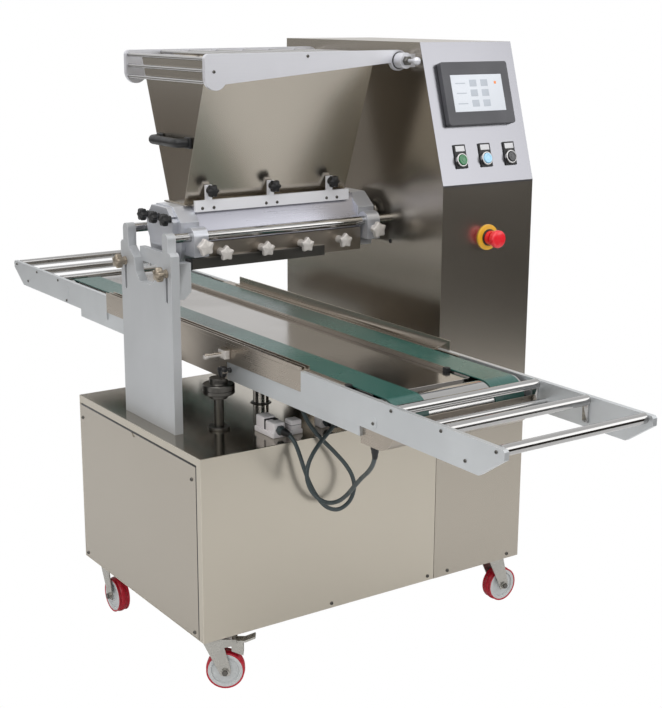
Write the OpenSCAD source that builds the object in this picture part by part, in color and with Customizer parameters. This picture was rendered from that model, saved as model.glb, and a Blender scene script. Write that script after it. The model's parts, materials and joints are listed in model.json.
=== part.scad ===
// Cream filling machine: a wheeled stainless cabinet with a control tower, a hopper over
// a roller depositing head, and a lifting twin-belt conveyor that passes under the head.
// Millimetres. +Z is up, the operator's front is towards -Y, the tower towards +X, and
// the origin is on the floor under the middle of the machine's box.

/* [Cabinet] */
// Width of the low cabinet
cab_w = 610; // [590:5:680]
// Depth of the cabinet
cab_d = 580; // [560:5:640]
// Height of the cabinet's walls
cab_h = 403; // [380:1:450]
// Thickness of the folded sheet
sheet = 2; // [1.5:0.5:3]
// Width of the folded border beside the end panel
border_w = 18; // [14:1:26]
// Gap between the end panel and the border
panel_gap = 3; // [1:0.5:5]
// Width of the lip that the end panel is screwed to
lip_w = 20; // [14:1:30]

/* [Tower] */
// Width of the control tower
tower_w = 260; // [250:5:320]
// Depth of the control tower
tower_d = 625; // [600:5:700]
// Height of the tower above the cabinet's underside
tower_h = 1214; // [1190:2:1300]
// Height of the tower's upright front above the cabinet's underside
front_h = 912; // [880:2:940]
// How far the sloped console leans back
console_back = 92; // [60:2:120]
// Gap at the seam between cabinet and tower
seam = 0.6; // [0.3:0.1:0.9]

/* [Controls] */
// Width of the touch panel
hmi_w = 190; // [160:5:220]
// Height of the touch panel
hmi_h = 140; // [120:5:150]
// How far the touch panel stands out of the console
hmi_t = 14; // [8:1:24]
// Height of the touch panel's middle up the slope
hmi_v = 198; // [185:1:215]
// Depth of the touch panel's body behind the console
hmi_depth = 40; // [30:1:50]
// Height of the push buttons up the slope
button_v = 53; // [45:1:70]
// Distance between the push buttons
button_pitch = 71; // [60:1:78]
// Diameter of a push button's cap
button_d = 23; // [20:0.5:25]
// Outer diameter of a button's bezel
bezel_d = 30; // [29:0.5:36]
// Diameter of the threaded barrel behind a button
barrel_d = 22; // [18:0.5:24]
// Travel of a push button
button_travel = 4; // [2:0.5:5]
// Diameter of the emergency stop's mushroom head
estop_d = 40; // [36:1:44]
// Diameter of the collar behind the emergency stop
collar_d = 57; // [54:1:62]
// Height of the emergency stop above the cabinet's underside
estop_h = 790; // [760:1:820]
// Distance of the emergency stop from the tower's left edge
estop_u = 130; // [100:1:150]
// Travel of the emergency stop
estop_travel = 5; // [3:0.5:6]

/* [Casters] */
// Diameter of a caster's wheel
wheel_d = 84; // [80:1:86]
// Width of a caster's tread
wheel_w = 30; // [26:1:34]
// Height of a caster from the floor to the cabinet's underside
caster_h = 127; // [124:1:132]
// Distance of a caster's axle behind its swivel axis
caster_trail = 28; // [24:1:32]
// Distance of a swivel axis from the cabinet's edges
caster_inset = 45; // [42:1:52]
// Side of a caster's square top plate
caster_plate_w = 76; // [72:1:80]

/* [Support plate] */
// Distance of the support plate from the cabinet's left face
plate_inset = 36; // [30:1:40]
// Thickness of the support plate
plate_t = 20; // [16:1:24]
// Width of the support plate
plate_w = 233; // [225:1:250]
// Height of the support plate's shoulders above the cabinet
shoulder_h = 389; // [370:1:395]
// Height of the bottom of the support plate's cut-out above the cabinet
cutout_h = 310; // [290:1:325]
// Diameter of the chrome rods that carry the head
rod_d = 20; // [16:1:22]
// Distance between the rods
rod_span = 182; // [176:1:190]
// Height of the rods above the cabinet
rod_h = 416; // [410:1:422]
// Distance between the height clamp knobs
yoke_span = 190; // [180:1:200]
// Height of the height clamp knobs above the cabinet
yoke_h = 345; // [335:1:352]

/* [Head] */
// Distance of the head from the cabinet's left face
head_inset = 85; // [80:1:90]
// Thickness of the head's end plates
end_t = 44; // [38:1:50]
// Length of the trough between the end plates
trough_len = 411; // [400:1:415]
// Height of the head's top above the cabinet
head_top_h = 474; // [470:1:480]
// Height of the underside of the nozzle bar above the cabinet
nozzle_h = 351; // [346:1:356]
// Thickness of the nozzle bar's bottom
nozzle_t = 24; // [18:1:26]
// Diameter of a feed roller
roller_d = 50; // [44:1:50]
// Height of the feed rollers above the cabinet
roller_h = 424; // [420:1:428]
// Diameter of a feed roller's shaft
shaft_d = 24; // [18:1:26]
// Number of teeth on a feed roller's pinion
pinion_teeth = 24; // [18:2:30]
// Thickness of the cover at the rollers' free ends
cover_t = 13; // [12:1:18]
// Width of a lug that clamps on a rod
lug_w = 34; // [28:1:38]
// Distance between the star knobs of the nozzle bar
star_pitch = 102; // [96:1:106]
// Radius over the lobes of a star knob
star_r = 17; // [14:0.5:19]

/* [Hopper] */
// Length of the hopper
hopper_len = 414; // [404:1:416]
// Height of the hopper's rim above the cabinet
hopper_h = 779; // [760:1:782]
// Width of the hopper at its bottom
hopper_bottom_w = 66; // [60:1:72]
// Width of the hopper at its rim
hopper_top_w = 288; // [260:1:290]
// Distance between the hopper knobs
hopper_pitch = 155; // [140:1:165]
// Length of the bridge handle on the hopper's end
handle_len = 150; // [130:1:170]
// Height of the bridge handle above the cabinet
handle_h = 608; // [590:1:640]

/* [Guard] */
// Distance of the guard's free end from the cabinet's left face
guard_inset = 100; // [96:1:106]
// Thickness of the guard's side plates
guard_t = 10; // [8:1:10]
// Gap between the hopper's rim and the guard's side plates
guard_gap = 5; // [3:0.5:8]
// Extra reach of the guard behind the hopper
guard_reach = 44; // [20:1:60]
// Distance of the guard's hinge from the tower
hinge_gap = 26; // [25:1:30]
// Height of the guard's hinge above the cabinet
hinge_h = 772; // [768:1:776]
// Diameter of the guard's hinge shaft
hinge_d = 16; // [12:1:18]
// Diameter of the guard's cross bars
guard_bar_d = 8; // [6:1:10]

/* [Conveyor] */
// Length of the conveyor from tip to tip
conv_len = 2060; // [1980:10:2200]
// Width of the conveyor over its side plates
conv_w = 352; // [348:1:358]
// Height of the conveyor's top above the cabinet
conv_h = 195; // [190:1:205]
// Length of the stainless side rails
rail_len = 872; // [820:4:900]
// Height of the stainless side rails
rail_h = 81; // [76:1:85]
// Thickness of the extension plates
ext_t = 10; // [8:1:11]
// Height of the extension plates
ext_h = 60; // [56:1:64]
// Distance between the drums' axles
drum_span = 1350; // [1300:10:1400]
// Diameter of the drive drum
drum_d = 84; // [78:1:86]
// Diameter of the tail drum
tail_d = 52; // [50:1:60]
// Diameter of a drum's axle
axle_d = 20; // [16:1:22]
// Width of a belt
belt_w = 72; // [60:1:74]
// Thickness of a belt
belt_t = 2.5; // [2:0.5:3]
// Diameter of the tray bars
bar_d = 20; // [16:1:22]
// Height of the tray guides above the belts
guide_rise = 20; // [12:1:30]

/* [Lift] */
// Diameter of a lift column
column_d = 22; // [18:1:24]
// Diameter of the collar below the top of a lift column
collar_w = 70; // [66:1:72]
// Height of the collar with its neck and hub
collar_h = 45; // [42:1:48]
// Distance between the lift columns along the conveyor
column_span = 248; // [230:2:270]
// Height that the conveyor can be raised
lift_travel = 80; // [60:5:90]
// Diameter of the lift ram
ram_d = 36; // [30:1:40]

/* [Wiring] */
// Diameter of the cables
cable_d = 9; // [8:0.5:10]
// Diameter of the bore in the mains lead's gland
mains_d = 11; // [8:0.5:12]

/* [Hidden] */
$fn = 48;

// Clearances: a running fit on the radius, a sliding gap, and an overlap for clean cuts
run = 0.05;
slide = 0.3;
eps = 1;

// Main planes of the machine
wheel_overhang = max(0, caster_trail + wheel_d / 2 - caster_inset);
left = -(cab_w + tower_w + wheel_overhang) / 2;
tower_x = left + cab_w;
right = tower_x + tower_w;
front = -cab_d / 2;
under_z = caster_h;
top_z = under_z + cab_h;
tower_top = under_z + tower_h;
console_z = under_z + front_h;
tower_back = front + tower_d;
console_len = norm([console_back, tower_top - console_z]);
lean = atan2(console_back, tower_top - console_z);

// Head, hopper and conveyor share one middle plane across the machine
head_x = left + head_inset;
trough_x = head_x + end_t;
trough_end = trough_x + trough_len;
feed_x = (head_x + trough_end + end_t) / 2 - 13;
rod_z = top_z + rod_h;
rod_y = rod_span / 2;
head_top = top_z + head_top_h;
nozzle_z = top_z + nozzle_h;
roller_z = top_z + roller_h;
roller_y = roller_d / 2 + 0.5;

// Cross-section of the trough: half widths at its rim, its shoulder and its foot
neck_y = hopper_bottom_w / 2;
rim_y = neck_y + 16;
rim_h = 13;
foot_y = 76;
foot_z = top_z + roller_h - 10;
strip_t = 8;
strip_drop = 13;
strip_rise = 11;
tab_rise = 43;
knob_rise = 32;

// Nozzle bar's front plate, and the knobs in front of it
nozzle_front = foot_y + 12;
nozzle_top = nozzle_z + 50;
star_z = nozzle_z + 28;
lug_r = rod_d / 2 + 10;
lug_drop = 41;
rear_lug_w = 20;

// Hopper and guard
hopper_x = feed_x - hopper_len / 2;
floor_t = 3;
hopper_z = head_top + floor_t;
hopper_top = top_z + hopper_h;
hinge_x = tower_x - hinge_gap;
hinge_z = top_z + hinge_h;
guard_y = hopper_top_w / 2 + guard_gap;
guard_back = guard_y + guard_reach;
guard_w = guard_y + guard_back + 2 * guard_t;
guard_x = left + guard_inset;
hinge_r = 22;
guard_top = hinge_z + hinge_r;
lobe_r = 25;
lobe_z = guard_top - 50;

// Conveyor
conv_z = top_z + conv_h;
near_x = feed_x - conv_w / 2;
far_x = feed_x + conv_w / 2;
rail_y = rail_len / 2;
rail_z = conv_z - rail_h;
tip_y = conv_len / 2;
drum_y = drum_span / 2;
drum_z = conv_z - belt_t - drum_d / 2;
tail_z = conv_z - belt_t - tail_d / 2;
drum_len = conv_w - 2 * ext_t - 2 * 7;
belt_x = feed_x - conv_w / 2 + ext_t + 14;
bed_z = conv_z - belt_t - slide;
bed_t = 13;
bed_low = conv_z - 5;
cross_y = 250;
cross_h = 22;
cross_z = bed_low - bed_t - cross_h;
tongue_y = 145;
tongue_end = drum_y - 45;
tongue_back = drum_y - 80;
tongue_top = conv_z - 42;
bed_front = bed_reach(drum_d, drum_z);
bed_back = bed_reach(tail_d, tail_z);
bracket_y = drum_y - 80;
track_x = 2 * feed_x - belt_x - belt_w - 11;
track_y = drum_y - 100;
bar_z = conv_z + 2 - bar_d / 2;
bar_ys = [drum_y + 60, drum_y + 195, tip_y - 20];
tie_y = drum_y + 85;
tie_z = conv_z - 38;
web_t = 3;
splice_len = 70;
cover_low = drum_z - cover_r(drum_d) - sheet;
cheek_top = conv_z - ext_h + 4;
cover_lip = 52;
guide_front = rail_y + 29;
guide_back = rail_y - 54;

// How far the bed reaches towards a drum, and the inner radius of a drum's cover
function bed_reach(d, z) = drum_y - sqrt(d * d / 4 - pow(bed_low - bed_t - z, 2)) - 2;
function cover_r(d) = d / 2 + belt_t + 6;

// Lift
column_x = near_x - 6;
column_far_x = far_x + 6;
column_y = column_span / 2;
bush_rise = 6;
bush_drop = 71;
column_low = rail_z - collar_h - 200;

// Routes of the two cables: hand-chosen loops in front of the cabinet, from the connectors
// on its top to the glands under the conveyor
wire_origin = [feed_x, front, top_z];
loop_a = [[-109, 14, 17], [-108, 0, 14], [-106, -12, 6], [-103, -20, -7], [-98, -25, -27], [-88, -29, -61],
          [-76, -33, -94], [-59, -37, -125], [-37, -39, -148], [-9, -40, -157], [18, -40, -145],
          [31, -39, -118], [27, -37, -90], [11, -33, -61], [-12, -26, -32], [-36, -17, -4], [-54, -4, 22],
          [-64, 10, 49], [-67, 24, 79]];
loop_b = [[-140, -334, 46], [-126, -302, 23], [-110, -260, -4], [-95, -215, -37], [-83, -172, -71],
          [-78, -135, -96], [-80, -102, -109], [-88, -77, -105], [-96, -62, -89], [-100, -54, -66],
          [-95, -49, -43], [-81, -45, -21], [-60, -39, -3], [-36, -29, 9], [-13, -14, 15], [5, 4, 15],
          [14, 20, 14]];
cable_a_route = concat([for (p = loop_a) wire_origin + p],
    [[feed_x - 65, -cross_y - 5, cross_z - 46], [feed_x - 64, -cross_y, cross_z - 16]]);
cable_b_route = concat(
    [[near_x + 24, -drum_y + 25, cover_low - 10], [near_x + 25, -drum_y + 27, cover_low - 23],
     [near_x + 28, -drum_y + 34, cover_low - 36]],
    [for (p = loop_b) wire_origin + p]);

// Helpers

// A plate whose outline is drawn in Y and Z, from x to x + t
module plate_x(x, t) {
    translate([x, 0, 0]) rotate([90, 0, 90]) linear_extrude(t) children();
}

// A plate whose outline is drawn in X and Z, from y to y + t
module plate_y(y, t) {
    translate([0, y + t, 0]) rotate([90, 0, 0]) linear_extrude(t) children();
}

// A box between two corners
module box(low, high) {
    translate(low) cube(high - low);
}

// A cylinder along X from x to x + l
module rod_x(x, y, z, r, l) {
    translate([x, y, z]) rotate([0, 90, 0]) cylinder(r = r, h = l);
}

// A cylinder along Y from y to y + l
module rod_y(x, y, z, r, l) {
    translate([x, y, z]) rotate([-90, 0, 0]) cylinder(r = r, h = l);
}

// A rectangle with round corners, centred
module rounded_square(w, h, r) {
    square([w - 2 * r, h], center = true);
    square([w, h - 2 * r], center = true);
    for (sx = [-1, 1], sy = [-1, 1]) {
        translate([sx * (w / 2 - r), sy * (h / 2 - r)]) circle(r);
    }
}

// A rectangle mirrored left and right from one half outline
function both(half) = concat(half, [for (i = [len(half) - 1:-1:0]) [-half[i][0], half[i][1]]]);

// The near half, mirrored to the far side of the conveyor when s is positive
module across(s) {
    translate([feed_x, 0, 0]) mirror([s > 0 ? 1 : 0, 0, 0]) translate([-feed_x, 0, 0]) children();
}

// The console's own frame: X across it, Y up the slope, Z out of it
module on_console() {
    translate([tower_x, front, console_z]) rotate([90 - lean, 0, 0]) children();
}

// The tower's upright front: Z points out towards the operator
module on_front(u, z) {
    translate([tower_x + u, front, z]) rotate([90, 0, 0]) children();
}

// A moulded knob with round lobes, its stud along -Z and its grip from z0 up
module lobed_knob(lobes, r, grip, z0, stud_r, stud) {
    lobe = r * 0.3;
    translate([0, 0, z0]) {
        linear_extrude(grip) {
            circle(r * 0.62);
            for (i = [0:lobes - 1]) {
                rotate(360 / lobes * (i + 0.25)) hull_free_lobe(r, lobe);
            }
        }
        translate([0, 0, grip]) cylinder(r1 = r * 0.5, r2 = r * 0.3, h = 1.5);
    }
    translate([0, 0, -stud]) cylinder(r = stud_r, h = stud + z0);
}

// One lobe of a knob: a round end on a straight neck
module hull_free_lobe(r, lobe) {
    translate([r - lobe, 0]) circle(lobe);
    translate([0, -lobe]) square([r - lobe, 2 * lobe]);
}

// A tube swept along a route: rings of points square to the mean of the runs on each side
function unit(v) = v / norm(v);
function route_dir(p, i) =
    unit(p[min(i + 1, len(p) - 1)] - p[max(i - 1, 0)]);
function ring_points(c, d, r, n) =
    let (u = unit(cross(d, abs(d[2]) > 0.95 ? [1, 0, 0] : [0, 0, 1])), v = cross(d, u))
    [for (k = [0:n - 1]) c + r * (cos(360 * k / n) * u + sin(360 * k / n) * v)];
// A smooth curve through the route's points, with two rings for each run
function mid_point(p, i) =
    (-p[max(i - 1, 0)] + 9 * p[i] + 9 * p[i + 1] - p[min(i + 2, len(p) - 1)]) / 16;
function smooth_route(p) =
    [for (i = [0:2 * len(p) - 2]) i % 2 == 0 ? p[i / 2] : mid_point(p, (i - 1) / 2)];

// The first and last rings are square to the glands that the tube runs between
module swept_tube(route, r, first, last, n = 10) {
    p = smooth_route(route);
    m = len(p);
    dirs = [for (i = [0:m - 1]) i == 0 ? first : i == m - 1 ? last : route_dir(p, i)];
    points = [for (i = [0:m - 1]) each ring_points(p[i], dirs[i], r, n)];
    sides = [for (i = [0:m - 2], k = [0:n - 1])
        let (a = i * n + k, b = i * n + (k + 1) % n)
        each [[a, a + n, b + n], [a, b + n, b]]];
    ends = [[for (k = [0:n - 1]) k], [for (k = [n - 1:-1:0]) (m - 1) * n + k]];
    polyhedron(points, concat(sides, ends), convexity = 8);
}

// Cabinet

module column_places() {
    for (x = [column_x, column_far_x], y = [-column_y, column_y]) {
        translate([x, y, 0]) children();
    }
}

// Folded box with the end panel's opening on the left and holes for the lift on top
module cabinet_shell() {
    color([0.67, 0.64, 0.59]) difference() {
        box([left, front, under_z], [tower_x - seam, -front, top_z]);
        difference() {
            box([left + sheet, front + sheet, under_z + sheet],
                [tower_x - seam - sheet, -front - sheet, top_z - sheet]);
            difference() {
                box([left + sheet, front, under_z], [left + 2 * sheet, -front, top_z]);
                box([left, front + border_w + panel_gap + lip_w, under_z + lip_w],
                    [left + 3 * sheet, -front - lip_w, top_z - border_w - panel_gap - lip_w]);
            }
        }
        box([left - eps, front + border_w, under_z + sheet],
            [left + sheet, -front - sheet, top_z - border_w]);
        column_places() translate([0, 0, top_z - sheet - eps]) cylinder(d = bush_d(), h = sheet + 2 * eps);
        translate([feed_x, 0, top_z - sheet - eps]) cylinder(d = ram_d + 12, h = sheet + 2 * eps);
    }
}

// Rear opening of the tower
rear_low = [tower_x + 34, under_z + 130];
rear_high = [right - 34, tower_top - 90];

// Removable panels: the cabinet's left end, with a finger notch, and the tower's back
module service_panels() {
    y0 = front + border_w + panel_gap;
    y1 = -front - sheet - 0.5;
    z1 = top_z - border_w - panel_gap;
    color([0.69, 0.66, 0.61]) {
        difference() {
            box([left, y0, under_z + sheet + 0.5], [left + sheet, y1, z1]);
            rod_x(left - eps, (y0 + y1) / 2, z1, 9, sheet + 2 * eps);
        }
        box([rear_low[0] + panel_gap, tower_back - sheet, rear_low[1] + panel_gap],
            [rear_high[0] - panel_gap, tower_back, rear_high[1] - panel_gap]);
    }
}

// Tower

function tower_outline() = [[front, under_z], [tower_back, under_z], [tower_back, tower_top],
    [front + console_back, tower_top], [front, console_z]];
function tower_hollow() =
    let (run_up = (tower_top - sheet - console_z + sheet * sin(lean)) / cos(lean))
    [[front + sheet, under_z + sheet], [tower_back - sheet, under_z + sheet],
     [tower_back - sheet, tower_top - sheet],
     [front + sheet * cos(lean) + run_up * sin(lean), tower_top - sheet],
     [front + sheet, console_z - sheet * tan(lean / 2)]];

module button_places() {
    for (i = [-1:1]) button_place(i) children();
}

module button_place(i) {
    on_console() translate([tower_w / 2 + i * button_pitch, button_v, 0]) children();
}

// Tall folded tower with cut-outs for the controls and the drive shafts
module tower_shell() {
    color([0.52, 0.5, 0.47]) difference() {
        plate_x(tower_x, tower_w) polygon(tower_outline());
        difference() {
            plate_x(tower_x + sheet, tower_w - 2 * sheet) polygon(tower_hollow());
            difference() {
                box([rear_low[0] - lip_w, tower_back - 2 * sheet, rear_low[1] - lip_w],
                    [rear_high[0] + lip_w / 2, tower_back - sheet, rear_high[1] + lip_w]);
                box([rear_low[0] + lip_w, tower_back - 3 * sheet, rear_low[1] + lip_w],
                    [rear_high[0] - lip_w, tower_back, rear_high[1] - lip_w]);
            }
        }
        box([rear_low[0], tower_back - sheet, rear_low[1]], [rear_high[0], tower_back + eps, rear_high[1]]);
        button_places() translate([0, 0, -sheet - eps]) cylinder(d = barrel_d + 2 * run, h = sheet + 2 * eps);
        on_console() translate([tower_w / 2, hmi_v, -sheet - eps])
            linear_extrude(sheet + 2 * eps) square([hmi_w - 20 + 1, hmi_h - 20 + 1], center = true);
        on_front(estop_u, under_z + estop_h) translate([0, 0, -sheet - eps])
            cylinder(d = barrel_d + 2 * run, h = sheet + 2 * eps);
        for (s = [-1, 1]) {
            rod_x(tower_x - eps, s * roller_y, roller_z, shaft_d / 2 + 0.5, sheet + 2 * eps);
        }
    }
}

// Touch panel: a bevelled bezel with a sunk screen, and its body behind the console
module hmi_panel() {
    color([0.35, 0.35, 0.36]) on_console() translate([tower_w / 2, hmi_v, 0]) {
        difference() {
            linear_extrude(hmi_t) rounded_square(hmi_w, hmi_h, 6);
            translate([0, 0, hmi_t - 1.5]) linear_extrude(3) square([hmi_w - 44, hmi_h - 58], center = true);
        }
        translate([0, 0, -hmi_depth]) linear_extrude(hmi_depth)
            square([hmi_w - 20, hmi_h - 20], center = true);
    }
}

// Push buttons: the bezel's floor is the stop of the cap
bezel_floor = 2;
stem_r = 6;
cap_t = 5;
cap_z = bezel_floor + button_travel;
bezel_t = cap_z + 3;
barrel_len = 24;

module button_bezels() {
    color([0.8, 0.8, 0.82]) button_places() difference() {
        union() {
            cylinder(d = bezel_d, h = bezel_t);
            translate([0, 0, -barrel_len]) cylinder(d = barrel_d, h = barrel_len + eps);
            translate([0, 0, -sheet - 6]) cylinder(d = barrel_d + 7, h = 6);
        }
        translate([0, 0, bezel_floor]) cylinder(d = button_d + 2 * slide, h = bezel_t);
        translate([0, 0, -barrel_len - eps])
            cylinder(r = stem_r + run, h = barrel_len + 2 * eps + bezel_floor);
    }
}

module push_button(i, shade) {
    color(shade) button_place(i) {
        translate([0, 0, cap_z]) cylinder(d = button_d, h = cap_t);
        translate([0, 0, -barrel_len + button_travel + 1])
            cylinder(r = stem_r, h = barrel_len + bezel_floor + eps);
    }
}

// Emergency stop: yellow collar with its sleeve, and a red mushroom head on a stem
estop_plate_t = 4;
estop_sleeve = 20;
estop_stem_r = 8;
estop_head_z = estop_sleeve + estop_travel + 1;

module estop_collar() {
    color([0.95, 0.8, 0.1]) on_front(estop_u, under_z + estop_h) difference() {
        union() {
            cylinder(d = collar_d, h = estop_plate_t);
            cylinder(r = 15, h = estop_sleeve);
            translate([0, 0, -barrel_len]) cylinder(d = barrel_d, h = barrel_len + eps);
            translate([0, 0, -sheet - 6]) cylinder(d = barrel_d + 7, h = 6);
        }
        translate([0, 0, -barrel_len - eps])
            cylinder(r = estop_stem_r + run, h = barrel_len + estop_sleeve + 2 * eps);
    }
}

module estop_button() {
    r = estop_d / 2;
    color([0.8, 0.08, 0.08]) on_front(estop_u, under_z + estop_h) {
        translate([0, 0, -barrel_len + estop_travel + 1])
            cylinder(r = estop_stem_r, h = barrel_len + estop_head_z - estop_travel);
        translate([0, 0, estop_head_z]) cylinder(r1 = r - 5, r2 = r, h = 6);
        translate([0, 0, estop_head_z + 6]) cylinder(r = r, h = 5);
        translate([0, 0, estop_head_z + 11]) cylinder(r1 = r, r2 = r - 7, h = 7);
    }
}

// Casters

// Each caster's place, and the way that its wheel trails
caster_fl = [[left + caster_inset, front + caster_inset], -34];
caster_fr = [[right - caster_inset, front + caster_inset], 0];
caster_bl = [[left + caster_inset, -front - caster_inset], -90];
caster_br = [[right - caster_inset, -front - caster_inset], -120];
casters = [caster_fl, caster_fr, caster_bl, caster_br];
caster_plate_t = 4;
race_t = 9;
king_r = 6;
fork_z = under_z - caster_plate_t - slide;
axle_z = wheel_d / 2;
bolt_r = 5;
leg_t = 3;
leg_y = wheel_w / 2 + 2;

module caster_at(c) {
    translate([c[0][0], c[0][1], 0]) rotate(c[1]) children();
}

// Bolted top plates with their king pins
module caster_plates() {
    color([0.75, 0.75, 0.76]) for (c = casters) {
        translate([c[0][0], c[0][1], 0]) {
            translate([0, 0, under_z - caster_plate_t]) linear_extrude(caster_plate_t)
                rounded_square(caster_plate_w, caster_plate_w, 8);
            translate([0, 0, fork_z - race_t - slide - 5]) {
                cylinder(r = king_r, h = race_t + 3 * slide + 5);
                cylinder(r = king_r + 4, h = 5);
            }
        }
    }
}

// Swivel fork: race, bridge, two legs that lean back to the axle, and the axle bolt
module caster_fork(c) {
    bridge_z = fork_z - race_t;
    color([0.78, 0.78, 0.79]) caster_at(c) difference() {
        union() {
            translate([0, 0, bridge_z]) cylinder(r = 27, h = race_t);
            for (s = [-1, 1]) {
                plate_y(s > 0 ? leg_y : -leg_y - leg_t, leg_t) polygon([
                    [-22, bridge_z + 4], [22, bridge_z + 4], [caster_trail + 13, axle_z + 4],
                    [caster_trail + 9, axle_z - 9], [caster_trail - 9, axle_z - 9],
                    [caster_trail - 13, axle_z]]);
                rod_y(caster_trail, s > 0 ? leg_y + leg_t - eps : -leg_y - leg_t - 4, axle_z, 8, 4 + eps);
            }
            rod_y(caster_trail, -leg_y - eps, axle_z, bolt_r, 2 * leg_y + 2 * eps);
        }
        translate([0, 0, bridge_z - eps]) cylinder(r = king_r + run, h = race_t + 2 * eps);
    }
}

// Wheel: moulded tread on a dished hub with a bored boss
module caster_wheel(c) {
    r = wheel_d / 2;
    w = wheel_w / 2;
    color([0.8, 0.1, 0.2]) caster_at(c) translate([caster_trail, 0, axle_z]) rotate([90, 0, 0])
        rotate_extrude() polygon([[bolt_r + run, -w - 1], [13, -w - 1], [14, -w + 6], [r - 11, -w + 6],
            [r - 8, -w], [r - 3, -w], [r, -w + 4], [r, w - 4], [r - 3, w], [r - 8, w],
            [r - 11, w - 6], [14, w - 6], [13, w + 1], [bolt_r + run, w + 1]]);
}

// Brake pedal: a shoe over the tread and a lever, on a cross pin
pedal_x = caster_trail + 18;
pedal_z = fork_z - 12;
shoe_z = axle_z + wheel_d / 2;
module brake_pedal() {
    color([0.72, 0.72, 0.73]) caster_at(caster_fl) {
        rod_y(pedal_x, -leg_y - leg_t - 1, pedal_z, 4, 2 * (leg_y + leg_t + 1));
        plate_y(-13, 26) polygon([[pedal_x - 4, pedal_z - 3], [pedal_x - 4, shoe_z + 3],
            [pedal_x + 21, shoe_z - 7], [pedal_x + 21, pedal_z - 3]]);
        plate_y(-12, 24) polygon([[pedal_x - 2, pedal_z - 4], [pedal_x + 26, pedal_z - 4],
            [pedal_x + 47, pedal_z + 5], [pedal_x + 46, pedal_z + 9], [pedal_x + 24, pedal_z],
            [pedal_x - 2, pedal_z]]);
    }
}

// Ears on the braked caster's fork that hold the pedal's pin
module braked_fork() {
    caster_fork(caster_fl);
    ear = [[10, fork_z - race_t + 4], [pedal_x + 7, pedal_z + 6], [pedal_x + 7, pedal_z - 7],
           [10, pedal_z - 16]];
    color([0.78, 0.78, 0.79]) caster_at(caster_fl) difference() {
        for (s = [-1, 1]) plate_y(s > 0 ? leg_y : -leg_y - leg_t, leg_t) polygon(ear);
        rod_y(pedal_x, -leg_y - leg_t - eps, pedal_z, 4 + run, 2 * (leg_y + leg_t + eps));
    }
}

// Support plate, rods and front rail

support_x = left + plate_inset;
inner_x = support_x + plate_t;
prong_r = rod_d / 2 + 2;
slot_r = 4.5;
bracket_w = 29;
bracket_low = top_z + yoke_h - 55;
bracket_high = top_z + yoke_h + 21;
carriage_y = 62;
carriage_t = 13;

// Upright plate with two prongs, a stepped cut-out with a bar behind it, and slots for the clamp knobs
module support_plate() {
    half = [[plate_w / 2, top_z], [plate_w / 2, top_z + shoulder_h - 6],
            [plate_w / 2 - 6, top_z + shoulder_h],
            [rod_y + prong_r, top_z + shoulder_h], [rod_y + prong_r, rod_z], [rod_y - prong_r, rod_z],
            [rod_y - prong_r, top_z + cutout_h + 70], [rod_y - prong_r - 26, top_z + cutout_h + 48],
            [rod_y - prong_r - 33, top_z + cutout_h + 18], [rod_y - prong_r - 50, top_z + cutout_h]];
    color([0.66, 0.67, 0.67]) {
        difference() {
            plate_x(support_x, plate_t) {
                polygon(both(half));
                for (s = [-1, 1]) translate([s * rod_y, rod_z]) circle(prong_r);
            }
            for (s = [-1, 1]) yoke_slot(s);
        }
        difference() {
            box([inner_x, -plate_w / 2 + 4, bracket_low],
                [inner_x + bracket_w, -plate_w / 2 + 27, bracket_high]);
            translate([inner_x + bracket_w, -plate_w / 2 + 15, bracket_low])
                rotate([0, 45, 0]) cube([22, 24, 22], center = true);
            yoke_slot(-1);
        }
        box([inner_x - eps, -carriage_y, nozzle_z - 2], [inner_x + carriage_t, carriage_y, nozzle_z + 29]);
    }
}

module yoke_slot(s) {
    slot_low = yoke_h - 58;
    box([support_x - eps, s * yoke_span / 2 - slot_r, top_z + slot_low],
        [inner_x + eps, s * yoke_span / 2 + slot_r, top_z + yoke_h]);
    for (h = [slot_low, yoke_h]) {
        rod_x(support_x - eps, s * yoke_span / 2, top_z + h, slot_r, plate_t + 2 * eps);
    }
}

// Clamp knob whose stud runs through a slot of the support plate
module yoke_knob(s) {
    color([0.72, 0.66, 0.55]) translate([support_x, s * yoke_span / 2, top_z + yoke_h]) rotate([0, -90, 0]) {
        lobed_knob(5, 16, 16, 10, 4, plate_t - 2);
        translate([0, 0, slide]) cylinder(r = 9, h = 10);
    }
}

module guide_rods() {
    color([0.82, 0.82, 0.83]) for (s = [-1, 1]) {
        rod_x(inner_x, s * rod_y, rod_z, rod_d / 2, tower_x - inner_x);
    }
}

// Bar along the front of the nozzle bar, with a plug in its free end
module front_rail() {
    x0 = inner_x + bracket_w;
    x1 = trough_end - 110;
    color([0.6, 0.6, 0.61]) difference() {
        box([x0, -nozzle_front - 12, nozzle_z - 3], [x1, -nozzle_front, nozzle_z + 20]);
        box([x0 - eps, -nozzle_front - 10, nozzle_z - 1], [x0 + 8, -nozzle_front - 2, nozzle_z + 18]);
    }
}

// Depositing head

// Front lug with a foot for the clamp knob, and a narrower plain one behind
module front_lug(x) {
    box([x, -rod_y - lug_r, rod_z - lug_drop], [x + lug_w, -rod_y + 24, rod_z]);
    rod_x(x, -rod_y, rod_z, lug_r, lug_w);
}

module rear_lug(x) {
    box([x, rod_y - 24, rod_z - 14], [x + rear_lug_w, rod_y, rod_z + 14]);
    rod_x(x, rod_y, rod_z, lug_r, rear_lug_w);
}

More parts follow.
